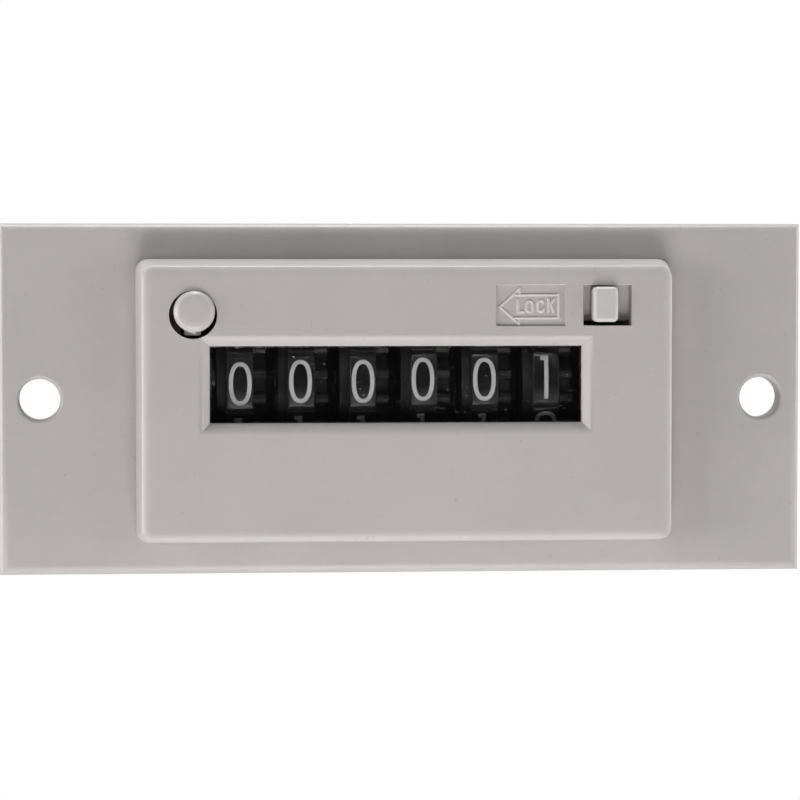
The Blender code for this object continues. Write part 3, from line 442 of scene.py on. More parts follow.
# tone and stain, then the stretch of the streaks and the shine
metalLooks = {
    "frameSteel": ((0.56, 0.56, 0.57), (0.42, 0.42, 0.43), (1.0, 0.05, 1.0), 0.3),
    "shaftSteel": ((0.62, 0.62, 0.64), (0.5, 0.5, 0.52), (1.0, 0.1, 0.1), 0.2),
    "springSteel": ((0.42, 0.43, 0.45), (0.3, 0.3, 0.32), (1.0, 0.2, 0.2), 0.26),
    "softIron": ((0.33, 0.33, 0.34), (0.22, 0.21, 0.21), (1.0, 0.3, 1.0), 0.38),
    "terminalBrass": ((0.72, 0.55, 0.26), (0.5, 0.36, 0.17), (1.0, 0.08, 1.0), 0.26),
    "copperWire": ((0.62, 0.27, 0.12), (0.4, 0.16, 0.07), (0.2, 1.0, 0.2), 0.3),
}
plastics = {name: mouldedPlastic(name + "Plastic", *look) for name, look in plasticLooks.items()}
metals = {name: workedMetalFinish(name, *look) for name, look in metalLooks.items()}


# white ink of the digits, rubbed a little thin
def buildDigitInk():
    material, tree, shader = newMaterial("digitInk")
    place = objectPlace(tree)
    rubbed = makeNoise(tree, place, 2600.0, 4.0, 0.7)
    thin = makeRange(tree, rubbed.outputs["Fac"], 0.5, 0.8, 0.0, 0.75)
    tone = makeMix(tree, thin, grey(0.305), grey(0.2))
    tree.links.new(tone, shader.inputs["Base Color"])
    rough = makeRange(tree, rubbed.outputs["Fac"], 0.3, 0.7, 0.5, 0.7)
    tree.links.new(rough, shader.inputs["Roughness"])
    shader.inputs["Specular IOR Level"].default_value = 0.2
    addBump(tree, rubbed.outputs["Fac"], shader, 0.004)
    return material


# tones of the lens: bands of painted shade along its lower and upper edges (heights in mm), the shaded and
# clear tones, and the tone the lamps' light keeps through it
lensTones = {
    "lowPaintedShade": (-1.6, -0.8),
    "highPaintedShade": (5.1, 5.3),
    "paintedShadeTone": 0.32,
    "clear": 0.97,
    "shadow": 0.93,
}


# clear acrylic, darkened along its upper and lower edges as painted shade; lamps reach the wheels through it
def buildLensClear(spec):
    material, tree, shader = newMaterial("lensClear")
    shader.inputs["Transmission Weight"].default_value = 1.0
    shader.inputs["IOR"].default_value = 1.47
    place = objectPlace(tree)
    height = tree.nodes.new("ShaderNodeSeparateXYZ")
    tree.links.new(place, height.inputs[0])
    # painted shade: the lens tone falls to a dark grey toward its lower and upper edges, so the wheels seen
    # there look shaded
    below = makeRange(tree, height.outputs["Z"], *(z * mm for z in spec["lowPaintedShade"]))
    above = makeRange(tree, height.outputs["Z"], *(z * mm for z in spec["highPaintedShade"]), 1.0, 0.0)
    unshadedShare = makeMath(tree, "MULTIPLY", below, above)
    tone = makeMix(tree, unshadedShare, grey(spec["paintedShadeTone"]), grey(spec["clear"]))
    tree.links.new(tone, shader.inputs["Base Color"])
    haze = makeNoise(tree, place, 500.0, 3.0, 0.6)
    rough = makeRange(tree, haze.outputs["Fac"], 0.35, 0.75, 0.02, 0.06)
    tree.links.new(rough, shader.inputs["Roughness"])
    shadow = tree.nodes.new("ShaderNodeLightPath").outputs["Is Shadow Ray"]
    clear = tree.nodes.new("ShaderNodeBsdfTransparent")
    clear.inputs["Color"].default_value = grey(spec["shadow"])
    surface = tree.nodes["Material Output"].inputs["Surface"]
    mixShaders(tree, shadow, shader.outputs[0], clear.outputs[0], surface)
    return material


def buildLintFinish():
    material, tree, shader = newMaterial("lensLint")
    place = objectPlace(tree)
    noise = makeNoise(tree, place, 3000.0, 2.0, 0.5)
    tone = makeMix(tree, noise.outputs["Fac"], (0.32, 0.32, 0.31, 1), (0.16, 0.16, 0.155, 1))
    tree.links.new(tone, shader.inputs["Base Color"])
    shader.inputs["Roughness"].default_value = 0.9
    return material


digitInk = buildDigitInk()
lensClear = buildLensClear(lensTones)
lintFinish = buildLintFinish()
print("materials ready")

# mounting plate

plateSpec = {
    "half": (40.25, 17.5),
    "thick": 3.0,
    "edge": 1.0,
    "opening": (25.0, 12.6),
    "holeX": 36.2,
    "hole": 2.05,
    "holeEdge": 0.4,
    "backEdge": 0.12,
}


def buildPlate(spec):
    halfX, halfZ = spec["half"]
    plate = addBlock("panelPlate", (-halfX, -spec["thick"], -halfZ), (halfX, 0, halfZ))
    pickEdges(plate, bothAt(1, -spec["thick"]))
    roundPicked(spec["edge"], 8)
    openX, openZ = spec["opening"]
    combine(plate, "DIFFERENCE", addBlock("opening", (-openX, -9, -openZ), (openX, 9, openZ)))
    for side in (-1, 1):
        hole = addRod("hole", (side * spec["holeX"], 0, 0), spec["hole"], (-9, 9), "y", 96)
        combine(plate, "DIFFERENCE", hole)
    onRim = bothEnds(lambda v: abs(math.hypot(abs(v.x) - spec["holeX"], v.z) - spec["hole"]) < 0.02)
    for y, width in ((-spec["thick"], spec["holeEdge"]), (0, spec["backEdge"])):
        pickEdges(plate, lambda a, b: bothAt(1, y)(a, b) and onRim(a, b))
        roundPicked(width, 5)
    shadeByAngle(plate, 40)
    return dress(plate, plastics["plate"], "housing", "plate_plastic", "mounting_plate")


buildPlate(plateSpec)
print("plate done")

# bezel

bezelSpec = {
    "half": (26.8, 13.975),
    "shift": 0.12,
    "lip": 0.4,
    "draft": (0.64, 0.55, 0.5, 0.72),
    "y": (-8.0, -3.05),
    "corner": 1.25,
    "round": 1.1,
    "roundDepth": 0.36,
    "room": (24.8, 11.975),
    "cavity": (23.5, 11.1),
    "wallY": -6.5,
    "flangeY": -3.8,
    "sleeve": (24.7, 12.3),
    "sleeveY": (-4, 3.0),
    "sleeveCorner": 0.96,
    "guide": (0.5, -7.25, -4.9),
    "hook": (4, 1.2, 2.7),
    "hookZ": (11.85, 13.0),
    "hookSlope": 0.7,
    "window": (-0.97, 1.58, 18.452, 3.804),
    "chamfer": 0.75,
    "buttonHole": (-21.04, 8.48, 2.365),
    "slot": (19.91, 9.38, 2.39, 1.995),
    "legend": (12.28, 9.38, 3.43, 2.015),
    "legendDepth": 0.3,
    "rim": 0.1,
    "windowRim": 0.4,
}


# the cutter for the window: straight through, then a slope that rolls over into the face
def windowTools(spec):
    x, z, halfX, halfZ = spec["window"]
    front, deep, rim = spec["y"][0], spec["chamfer"], spec["windowRim"]
    straight, flare = (addBlock(name, (x - halfX, start, z - halfZ), (x + halfX, end, z + halfZ))
                       for name, start, end in (("windowHole", front - 2, spec["wallY"] + 2),
                                                ("windowFlare", front + deep / 2, front + deep)))
    pickFaces(flare, lambda middle, normal: normal.y < -0.9)
    radius = rim / math.tan(math.radians(22.5))
    y, wider = front + deep / 2, 0.0
    for number, turn in enumerate((45, 36, 27, 18, 10, 4, 4)):
        ahead = front + radius * (1 - math.cos(math.radians(turn))) if number < 6 else front - deep
        reach = deep + rim - radius * math.sin(math.radians(turn))
        if number:
            bpy.ops.mesh.extrude_region_move(TRANSFORM_OT_translate={"value": (0, (ahead - y) * mm, 0)})
        else:
            bpy.ops.transform.translate(value=(0, (ahead - y) * mm, 0))
        grow = ((halfX + reach) / (halfX + wider), 1, (halfZ + reach) / (halfZ + wider))
        bpy.ops.transform.resize(value=grow, center_override=Vector((x, ahead, z)) * mm)
        y, wider = ahead, reach
    leaveEdit()
    return straight, flare


def buildBezel(spec):
    halfX, halfZ = spec["half"]
    front, back = spec["y"]
    shift, lip = spec["shift"], spec["lip"]
    left, right, low, high = spec["draft"]
    shell = addBlock("bezelShell", (shift - halfX, front, -halfZ - lip), (shift + halfX, back, halfZ))
    pickFaces(shell, lambda middle, normal: normal.y < -0.9)
    narrower, lower = 1 - (left + right) / (2 * halfX), 1 - (low + high) / (2 * halfZ + lip)
    middle = Vector((shift, front, -lip / 2)) * mm
    bpy.ops.transform.resize(value=(narrower, 1, lower), center_override=middle)
    bpy.ops.transform.translate(value=((left - right) / 2 * mm, 0, (low - high) / 2 * mm))
    leaveEdit()
    pickEdges(shell, alongAxis(1))
    roundPicked(spec["corner"], 8)
    # the front edge rolls over wider than it is deep, so it is rounded while the shell is stretched
    stretched = back + (front - back) / spec["roundDepth"]
    for stretch in (1 / spec["roundDepth"], spec["roundDepth"]):
        pickFaces(shell, everyFace)
        bpy.ops.transform.resize(value=(1, stretch, 1), center_override=Vector((0, back, 0)) * mm)
        leaveEdit()
        if stretch > 1:
            pickEdges(shell, bothAt(1, stretched))
            roundPicked(spec["round"], 10)
    sleeveX, sleeveZ = spec["sleeve"]
    start, end = spec["sleeveY"]
    sleeve = addBlock("sleeve", (-sleeveX, start, -sleeveZ), (sleeveX, end, sleeveZ))
    pickEdges(sleeve, alongAxis(1))
    roundPicked(spec["sleeveCorner"], 5)
    combine(shell, "UNION", sleeve)
    roomX, roomZ = spec["room"]
    cavityX, cavityZ = spec["cavity"]
    combine(shell, "DIFFERENCE",
            addBlock("frontRoom", (-roomX, spec["wallY"], -roomZ), (roomX, spec["flangeY"], roomZ)),
            addBlock("room", (-cavityX, spec["wallY"], -cavityZ), (cavityX, 5, cavityZ)))
    holeX, holeZ, holeR = spec["buttonHole"]
    wall, *reach = spec["guide"]
    combine(shell, "UNION", addRod("guide", (holeX, 0, holeZ), holeR + wall, reach))
    hookX, start, end = spec["hook"]
    inner, outer = spec["hookZ"]
    onCrest = bothEnds(lambda v: v.y > end - 0.1 and abs(v.z) > outer - 0.1)
    for side in (-1, 1):
        low, high = sorted((side * inner, side * outer))
        hook = addBlock("hook", (-hookX, start, low), (hookX, end, high))
        pickEdges(hook, onCrest)
        bpy.ops.transform.translate(value=(0, 0, -side * spec["hookSlope"] * mm))
        leaveEdit()
        combine(shell, "UNION", hook)
    slotX, slotZ, slotHalfX, slotHalfZ = spec["slot"]
    legendX, legendZ, legendHalfX, legendHalfZ = spec["legend"]
    slot = addBlock("slot", (slotX - slotHalfX, front - 1, slotZ - slotHalfZ),
                    (slotX + slotHalfX, spec["wallY"] + 1, slotZ + slotHalfZ))
    legend = addBlock("legendRecess", (legendX - legendHalfX, front - 1, legendZ - legendHalfZ),
                      (legendX + legendHalfX, front + spec["legendDepth"], legendZ + legendHalfZ))
    hole = addRod("buttonHole", (holeX, 0, holeZ), holeR, (-9, 0), "y", 96)
    combine(shell, "DIFFERENCE", *windowTools(spec), hole, slot, legend)
    # the slot and the legend's recess get a small worn edge
    near = bothEnds(lambda v: v.x > legendX - legendHalfX - 0.1 and abs(v.z - legendZ) < legendHalfZ + 0.1
                    and v.x < slotX + slotHalfX + 0.1)
    pickEdges(shell, lambda a, b: bothAt(1, front)(a, b) and near(a, b))
    roundPicked(spec["rim"], 3)
    shadeByAngle(shell, 30)
    return dress(shell, plastics["bezel"], "housing", "bezel_plastic", "front_bezel")


buildBezel(bezelSpec)
print("bezel done")

# lens

lensLow, lensHigh = (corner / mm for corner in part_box("window_lens"))
lensSpec = {
    "thick": 0.75,
    "lip": (0.9, 0.15),
    "edge": 0.03,
    "lint": 70,
    "hairs": 9,
    "margin": 1.7,
}


def buildLens(spec):
    side, top = spec["lip"]
    back = lensHigh.y
    lens = addBlock("windowPane", (lensLow.x, back - spec["thick"], lensLow.z), lensHigh)
    step = addBlock("step", (lensLow.x + side, lensLow.y, lensLow.z + side),
                    (lensHigh.x - side, back - spec["thick"] / 2, lensHigh.z - top))
    pickEdges(step, bothAt(1, lensLow.y))
    roundPicked(spec["edge"], 2)
    combine(lens, "UNION", step)
    shadeByAngle(lens, 30)
    return dress(lens, lensClear, "housing", "lens_clear", "window_lens")


# flecks of dust and short hairline scratches that lie on the front of the lens
def buildLint(spec):
    margin = Vector((1, 0, 1)) * spec["margin"]
    low, high = lensLow + margin, lensHigh - margin
    y = low.y - 0.004
    clearSelection()
    bpy.ops.mesh.primitive_ico_sphere_add(subdivisions=1, radius=0.5)
    master = bpy.context.object
    pickFaces(master, lambda middle, normal: random.random() < 0.5)
    bpy.ops.transform.resize(value=(1.25, 1.0, 0.8))
    leaveEdit()
    bits = []
    for number in range(spec["lint"] + spec["hairs"]):
        fleck = copyPiece(master, "fleck")
        hair = number >= spec["lint"]
        across = random.uniform(0.5, 1.3) if hair else random.choice((0.05, 0.06, 0.07, 0.09, 0.13))
        up = 0.022 if hair else across * random.uniform(0.5, 1.1)
        fleck.scale = (across * mm, 0.012 * mm, up * mm)
        fleck.rotation_euler = (0, random.uniform(-0.6, 0.6) if hair else random.uniform(0, 3.1), 0)
        fleck.location = Vector((random.uniform(low.x, high.x), y, random.uniform(low.z, high.z))) * mm
        bits.append(fleck)
    bpy.data.objects.remove(master, do_unlink=True)
    lint = joinPieces(*bits)
    lint.name = "lensLint"
    settle(lint)
    shadeByAngle(lint, 60)
    return dress(lint, lintFinish, "housing", "lens_clear")


buildLens(lensSpec)
buildLint(lensSpec)
print("lens done")

# reset button

buttonSpec = {
    "centre": (-20.93, 8.70),
    "faceY": -8.8,
    "headEnd": -5.0,
    "radius": 2.035,
    "stem": 0.7,
    "stemEnd": 15.81,
    "stemEdge": 0.3,
    "edge": 0.7,
    "dome": 0.1,
    "crown": (0.3, 0.35, 0.4),
    "flash": ((-0.55, 0.55, 0), (-0.15, 0.72, 0.3)),
    "flashPull": (0.42, 0, -0.2604),
    "key": ((-21.9, -7.0, 6.35), (-20.25, -5.1, 7.4)),
    "keyEdge": 0.12,
    "tilt": (-0.41, 8.0),
}


def buildButton(spec):
    x, z = spec["centre"]
    button = addRod("resetButtonCap", (x, 0, z), spec["radius"], (spec["faceY"], spec["headEnd"]), "y", 72)
    # the stem grows out of the back of the head
    pickFaces(button, lambda middle, normal: normal.y > 0.9)
    bpy.ops.mesh.inset(thickness=(spec["radius"] - spec["stem"]) * mm, depth=0)
    bpy.ops.mesh.extrude_region_move(
        TRANSFORM_OT_translate={"value": (0, (spec["stemEnd"] - spec["headEnd"]) * mm, 0)})
    leaveEdit()
    pickEdges(button, bothAt(1, spec["stemEnd"]))
    roundPicked(spec["stemEdge"], 3)
    # the face has a soft edge and a very shallow crown
    pickEdges(button, lambda a, b: bothAt(1, spec["faceY"])(a, b)
              and abs(math.hypot(a.x - x, a.z - z) - spec["radius"]) < 0.01)
    roundPicked(spec["edge"], 9)
    pickFaces(button, lambda middle, normal: normal.y < -0.99)
    for inset in spec["crown"]:
        bpy.ops.mesh.inset(thickness=inset * mm, depth=spec["dome"] * inset ** 2 * mm)
    leaveEdit()
    # a sharp tag of flash where the gate was trimmed, and the key that keeps the head from turning
    foot = Vector((x, spec["faceY"], z - spec["radius"]))
    flash = addBlock("flash", *(foot + Vector(corner) for corner in spec["flash"]))
    pickEdges(flash, bothEnds(lambda v: v.x > foot.x - 0.3 and v.z < foot.z + 0.1))
    bpy.ops.transform.translate(value=Vector(spec["flashPull"]) * mm)
    leaveEdit()
    key = addBlock("key", *spec["key"])
    pickEdges(key, alongAxis(1))
    roundPicked(spec["keyEdge"], 2)
    combine(button, "UNION", flash, key)
    shadeByAngle(button, 35)
    degrees, guide = spec["tilt"]
    turnAboutX(button, degrees, (0, guide, z))
    return dress(button, plastics["button"], "button", "button_plastic", "reset_button")


buildButton(buttonSpec)
print("button done")

# lock slide

slideSpec = {
    "base": ((16.12, -6.4, 7.815), (23.0, -5.4, 11.875)),
    "baseEdge": 0.2,
    "knob": ((18.38, -9.0, 7.745), (20.88, -5.9, 11.215)),
    "knobCorner": 0.5,
    "knobEdge": 0.42,
    "bar": ((-16.895, -6.3, 8.38), (17.12, -5.5, 10.38)),
    "step": ((-16.795, -5.9, 8.48), (-15.895, -4.0, 10.28)),
    "finger": ((-17.755, -4.7, 8.68), (-16.395, -4.1, 10.08)),
}


def buildSlide(spec):
    slide = addBlock("lockSlidePiece", *spec["base"])
    pickEdges(slide, bothAt(1, spec["base"][0][1]))
    roundPicked(spec["baseEdge"], 3)
    knob = addBlock("knob", *spec["knob"])
    pickEdges(knob, alongAxis(1))
    roundPicked(spec["knobCorner"], 6)
    pickEdges(knob, bothAt(1, spec["knob"][0][1]))
    roundPicked(spec["knobEdge"], 6)
    combine(slide, "UNION", knob, *(addBlock(name, *spec[name]) for name in ("bar", "step", "finger")))
    shadeByAngle(slide, 35)
    return dress(slide, plastics["slide"], "lock", "slide_plastic", "lock_slider")


buildSlide(slideSpec)
print("lock slide done")

# lock legend

legendSpec = {
    "floorY": -7.7,
    "rise": 0.14,
    "pen": 0.3,
    "letterPen": 0.36,
    "arrow": (((9.2, 9.24), (11.16, 11.02)), ((11.16, 11.02), (11.16, 10.5)), ((10.78, 10.4), (15.08, 10.42)),
              ((15.08, 10.42), (15.08, 8.15)), ((15.08, 8.15), (10.78, 8.12)), ((11.14, 8.02), (11.14, 7.56)),
              ((11.14, 7.56), (9.2, 9.24))),
    "letters": (("L", 10.83, 8.56, 0.8, 1.4), ("O", 11.68, 8.59, 0.98, 1.4), ("C", 12.81, 8.62, 0.94, 1.4),
                ("K", 13.9, 8.64, 0.84, 1.43)),
}

# letters on a field 2 wide and 4 high, like the digits below
letterStrokes = {
    "L": [("bar", (-1, 2), (-1, -2)), ("bar", (-1, -2), (1, -2))],
    "O": [("loop", (0, 2), (0.8, 1.5), (1, 0), (0.8, -1.5), (0, -2), (-0.8, -1.5), (-1, 0), (-0.8, 1.5))],
    "C": [("line", (1, 0.9), (0.8, 1.65), (0, 2), (-0.8, 1.5), (-1, 0), (-0.8, -1.5), (0, -2), (0.8, -1.65),
           (1, -0.9))],
    "K": [("bar", (-1, 2), (-1, -2)), ("bar", (0.95, 2), (-0.8, -0.3)), ("bar", (-0.1, 0.5), (1, -2))],
}


# a pen stroke is a bevelled curve, made a mesh and pressed nearly flat; a bar has square ends
def drawStroke(kind, points, pen, halfX, halfZ, rise):
    spots = [Vector((across * halfX, 0, up / 2 * halfZ)) for across, up in points]
    if kind == "bar":
        reach = (spots[1] - spots[0]).normalized() * pen * 0.48
        spots = [spots[0] - reach, (spots[0] + spots[1]) / 2, spots[1] + reach]
    curve = bpy.data.curves.new("stroke", "CURVE")
    curve.dimensions = "3D"
    curve.bevel_depth = pen / 2 * mm
    curve.bevel_resolution = 2
    curve.use_fill_caps = True
    curve.resolution_u = 5
    spline = curve.splines.new("POLY" if kind == "bar" else "BEZIER")
    knots = spline.points if kind == "bar" else spline.bezier_points
    knots.add(len(spots) - 1)
    for knot, spot in zip(knots, spots):
        if kind == "bar":
            knot.co = (*spot * mm, 1)
        else:
            knot.co = spot * mm
            knot.handle_left_type = knot.handle_right_type = "AUTO"
    spline.use_cyclic_u = kind == "loop"
    stroke = bpy.data.objects.new("stroke", curve)
    bpy.context.scene.collection.objects.link(stroke)
    choose(stroke)
    bpy.ops.object.convert(target="MESH")
    stroke = bpy.context.object
    pickFaces(stroke, everyFace)
    bpy.ops.mesh.remove_doubles(threshold=0.0005 * mm)
    if kind == "bar":
        bpy.ops.mesh.subdivide(number_cuts=3)
    leaveEdit()
    stroke.scale = (1, 2 * rise / pen, 1)
    return settle(stroke)


def buildLegend(spec):
    pen, rise, floor = spec["pen"], spec["rise"], spec["floorY"]
    strokes = []
    for start, end in spec["arrow"]:
        middle = (Vector(start) + Vector(end)) / 2
        ends = [(x - middle.x, 2 * (z - middle.y)) for x, z in (start, end)]
        strokes.append(movePiece(drawStroke("bar", ends, pen, 1, 1, rise), (middle.x, floor, middle.y)))
    pen = spec["letterPen"]
    for letter, x, z, width, height in spec["letters"]:
        for kind, *points in letterStrokes[letter]:
            stroke = drawStroke(kind, points, pen, (width - pen) / 2, (height - pen) / 2, rise)
            strokes.append(movePiece(stroke, (x + width / 2, floor, z + height / 2)))
    legend = joinPieces(*strokes)
    legend.name = "lockLegend"
    shadeByAngle(legend, 50)
    # the legend's lighter plastic is a painted highlight on the raised strokes
    return dress(legend, plastics["legend"], "housing", "bezel_plastic")


buildLegend(legendSpec)
print("legend done")

# number wheels

wheelSpec = {
    "centres": (14.1, 8.0, 1.9, -4.2, -10.3, -16.4),
    "axis": (3.6, 1.58),
    "lean": (4.1, 2.8, 2.9, 1.6, 1.7, 0.3),
    "showing": (1, 0, 0, 0, 0, 0),
    "rim": (8.75, 1.3),
    "padRise": 0.25,
    "padHalf": 16.2,
    "padEdge": 0.09,
    "ring": (7.0, 8.6, 1.1, 2.6),
    "teeth": 20,
    "firstTooth": 29.0,
    "toothShare": 0.28,
    "taper": 0.3,
    "driver": (8.0, -2.25, -1.1),
    "notch": (6.6, 9, 1.3),
    "carryTooth": (6.0, 7.9, 0.36),
    "cam": (2.4, 3.6),
    "camRise": 2.9,
    "star": (6.0, 3.9, 4.9),
    "starRoot": 0.72,
    "starHalf": 8,
    "starHub": (3.4, 4.0),
    "hub": 2.15,
    "bore": (1.35, -6, 8),
}


# how far a place lies from the nearest of the marks set around the X axis, in degrees
def fromMark(place, first, pitch):
    angle = math.degrees(math.atan2(place.z, place.y)) - first
    return abs((angle + pitch / 2) % pitch - pitch / 2)


# raises the outer faces around such marks, as pads, teeth or points
def raiseMarks(piece, first, pitch, half, height):
    pickFaces(piece, lambda middle, normal: abs(normal.x) <= 0.5 and fromMark(middle, first, pitch) < half)
    bpy.ops.mesh.extrude_region_shrink_fatten(TRANSFORM_OT_shrink_fatten={"value": height * mm})
    leaveEdit()


def buildRim(spec):
    radius, half = spec["rim"]
    rim = addRod("rim", (0, 0, 0), radius, (-half, half), "x", 240)
    raiseMarks(rim, 180, 36, spec["padHalf"], spec["padRise"])
    outer = radius + spec["padRise"]
    pickEdges(rim, bothEnds(lambda v: math.hypot(v.y, v.z) > outer - 0.02 and abs(abs(v.x) - half) < 0.01))
    roundPicked(spec["padEdge"], 3)
    return rim


def buildRing(spec):
    root, tip, low, high = spec["ring"]
    ring = addRod("ring", (0, 0, 0), root, (low, high), "x", spec["teeth"] * 5)
    first, pitch = spec["firstTooth"], 360 / spec["teeth"]
    raiseMarks(ring, first, pitch, pitch * spec["toothShare"], tip - root)
    pickEdges(ring, lambda a, b: fromMark(a, first, pitch) > 2 and abs(a.x - b.x) > 0.5
              and math.hypot(a.y, a.z) > tip - 0.1)
    roundPicked(spec["taper"], 1)
    return ring


def buildDisc(spec):
    radius, low, high = spec["driver"]
    disc = addRod("driver", (0, 0, 0), radius, (low, high), "x", 120)
    start, end, half = spec["notch"]
    combine(disc, "DIFFERENCE", addBlock("notch", (low - 1, start, -half), (high + 1, end, half)))
    start, end, half = spec["carryTooth"]
    return combine(disc, "UNION", addBlock("tooth", (low, start, -half), (high, end, half)))


def buildCam(spec):
    low, high = spec["cam"]
    cam = addRod("cam", (0, 0, 0), 1.0, (low, high), "x", 48)
    for vertex in cam.data.vertices:
        turn = math.atan2(vertex.co.z, vertex.co.y)
        away = abs((turn - math.pi / 3 + math.pi) % (2 * math.pi) - math.pi) / math.pi
        reach = spec["hub"] + spec["camRise"] * away
        vertex.co.y *= reach
        vertex.co.z *= reach
    return cam


def buildGears(spec):
    gears = combine(buildRing(spec), "UNION", buildDisc(spec), buildCam(spec))
    gears.name = "gears"
    return gears


def boreOut(piece, spec):
    radius, *reach = spec["bore"]
    combine(piece, "DIFFERENCE", addRod("bore", (0, 0, 0), radius, reach, "x", 48))
    shadeByAngle(piece, 30)
    return piece


# the printed rim may stand a little off its gears
def buildWheel(name, lean, spec):
    wheel = copyPiece(rimMaster, name)
    turnAboutX(wheel, -lean, (0, 0, 0))
    combine(wheel, "UNION", copyPiece(gearMaster, "gearCopy"))
    return boreOut(wheel, spec)


def buildStar(spec):
    radius, low, high = spec["star"]
    root = radius * spec["starRoot"]
    star = addRod("star", (0, 0, 0), root, (low, high), "x", 40)
    raiseMarks(star, 0, 36, spec["starHalf"], radius - root)
    combine(star, "UNION", addRod("starHub", (0, 0, 0), spec["hub"], spec["starHub"], "x", 48))
    return boreOut(star, spec)


# the ten pads are smoother than the rest of the wheel
def shinePads(wheel, axis, spec):
    wheel.data.materials.append(plastics["pad"])
    outer = spec["rim"][0] + spec["padRise"]
    for face in wheel.data.polygons:
        middle = face.center / mm
        reach = math.hypot(middle.y - axis[0], middle.z - axis[1])
        face.material_index = 1 if reach > outer - 0.06 else 0


rimMaster = buildRim(wheelSpec)
gearMaster = buildGears(wheelSpec)
starMaster = buildStar(wheelSpec)

# digits


def ovalPoints(halfWide, halfTall, square=2.3, count=16):
    points = []
    for number in range(count):
        turn = 2 * math.pi * number / count
        across, up = math.sin(turn), math.cos(turn)
        points.append((math.copysign(abs(across) ** (2 / square), across) * halfWide,
                       math.copysign(abs(up) ** (2 / square), up) * halfTall))
    return points


# each digit is one or more pen strokes on a field 2 wide and 4 high, middle at the origin
digitStrokes = {
    0: [("loop", *ovalPoints(1, 2))],
    1: [("bar", (-0.4, 1.96), (0, 1.98)), ("bar", (0, 2), (0, -2))],
    2: [("line", (-1, 1.1), (-0.72, 1.75), (0, 2), (0.75, 1.75), (1, 1.05), (0.8, 0.35), (0, -0.7),
         (-0.85, -1.6), (-1, -2)), ("bar", (-0.98, -1.98), (1, -1.98))],
    3: [("line", (-0.95, 1.2), (-0.65, 1.8), (0, 2), (0.7, 1.75), (0.92, 1.1), (0.65, 0.35), (0, 0.1)),
        ("line", (0, 0.1), (0.75, -0.15), (1, -0.95), (0.72, -1.75), (0, -2), (-0.72, -1.8), (-1, -1.15))],
    4: [("bar", (0.45, -2), (0.45, 2)), ("bar", (0.42, 1.95), (-0.95, -0.85)),
        ("bar", (-0.95, -0.9), (1, -0.9))],
    5: [("bar", (0.9, 1.98), (-0.8, 1.98)), ("bar", (-0.8, 1.95), (-0.88, 0.45)),
        ("line", (-0.88, 0.3), (-0.4, 0.62), (0.2, 0.6), (0.85, 0.15), (1, -0.75), (0.75, -1.65), (0, -2),
         (-0.7, -1.8), (-1, -1.2))],
    6: [("loop", (0, 0.45), (0.72, 0.2), (1, -0.75), (0.72, -1.72), (0, -2), (-0.72, -1.72), (-1, -0.75),
         (-0.72, 0.2)), ("line", (-0.98, -0.8), (-0.9, 0.55), (-0.3, 1.6), (0.45, 2))],
    7: [("bar", (-1, 1.98), (1, 1.98)), ("line", (0.98, 1.95), (0.55, 0.9), (0.0, -0.5), (-0.35, -2.1))],
    8: [("loop", (0, 2), (0.62, 1.8), (0.86, 1.15), (0.6, 0.45), (0, 0.2), (-0.6, 0.45), (-0.86, 1.15),
         (-0.62, 1.8)),
        ("loop", (0, 0.2), (0.72, -0.1), (1, -0.95), (0.7, -1.75), (0, -2), (-0.7, -1.75), (-1, -0.95),
         (-0.72, -0.1))],
    9: [("loop", (0, 2), (0.72, 1.72), (1, 0.75), (0.72, -0.2), (0, -0.45), (-0.72, -0.2), (-1, 0.75),
         (-0.72, 1.72)), ("line", (0.98, 0.8), (0.9, -0.55), (0.3, -1.6), (-0.45, -2))],
}

inkSpec = {
    "width": 2.26,
    "height": 4.33,
    "pen": 0.42,
    "shift": (0, -0.1, -0.14, 0, -0.1, 0.03),
    "rise": 0.02,
}


# bends a flat digit to the wheel's radius and lays it on its pad
def drawDigit(digit, spec, wheel):
    pen = spec["pen"]
    halfX, halfZ = (spec["width"] - pen) / 2, (spec["height"] - pen) / 2
    strokes = [drawStroke(kind, points, pen, halfX, halfZ, spec["rise"])
               for kind, *points in digitStrokes[digit]]
    flat = joinPieces(*strokes) if len(strokes) > 1 else strokes[0]
    radius = (wheel["rim"][0] + wheel["padRise"]) * mm
    heights = [vertex.co.z for vertex in flat.data.vertices]
    choose(flat)
    bend = flat.modifiers.new("wrap", "SIMPLE_DEFORM")
    bend.deform_method = "BEND"
    bend.deform_axis = "X"
    bend.angle = (max(heights) - min(heights)) / radius
    bpy.ops.object.modifier_apply(modifier=bend.name)
    movePiece(flat, (0, -radius / mm, 0))
    return turnAboutX(flat, 36 * digit, (0, 0, 0))


def buildInkRing(spec, wheel):
    digits = [drawDigit(digit, spec, wheel) for digit in range(10)]
    ring = joinPieces(*digits)
    ring.name = "inkMaster"
    shadeByAngle(ring, 50)
    return ring


inkMaster = buildInkRing(inkSpec, wheelSpec)

for number, centre in enumerate(wheelSpec["centres"], 1):
    axisY, axisZ = wheelSpec["axis"]
    lean = wheelSpec["lean"][number - 1]
    showing = wheelSpec["showing"][number - 1]
    body = f"wheel_{number}"
    wheel = buildWheel(f"numberWheel{number}", lean, wheelSpec)
    if number == 1:
        joinPieces(wheel, copyPiece(starMaster, "star"))
    movePiece(wheel, (centre, axisY, axisZ))
    dress(wheel, plastics["wheel"], body, "wheel_plastic", f"number_wheel_{number}")
    shinePads(wheel, (axisY, axisZ), wheelSpec)
    ink = copyPiece(inkMaster, f"wheelDigits{number}")
    turnAboutX(ink, -36 * showing - lean, (0, 0, 0))
    movePiece(ink, (centre + inkSpec["shift"][number - 1], axisY, axisZ))
    dress(ink, digitInk, body, "wheel_plastic")
for master in (rimMaster, gearMaster, starMaster, inkMaster):
    bpy.data.objects.remove(master, do_unlink=True)
print("number wheels done")

# springs

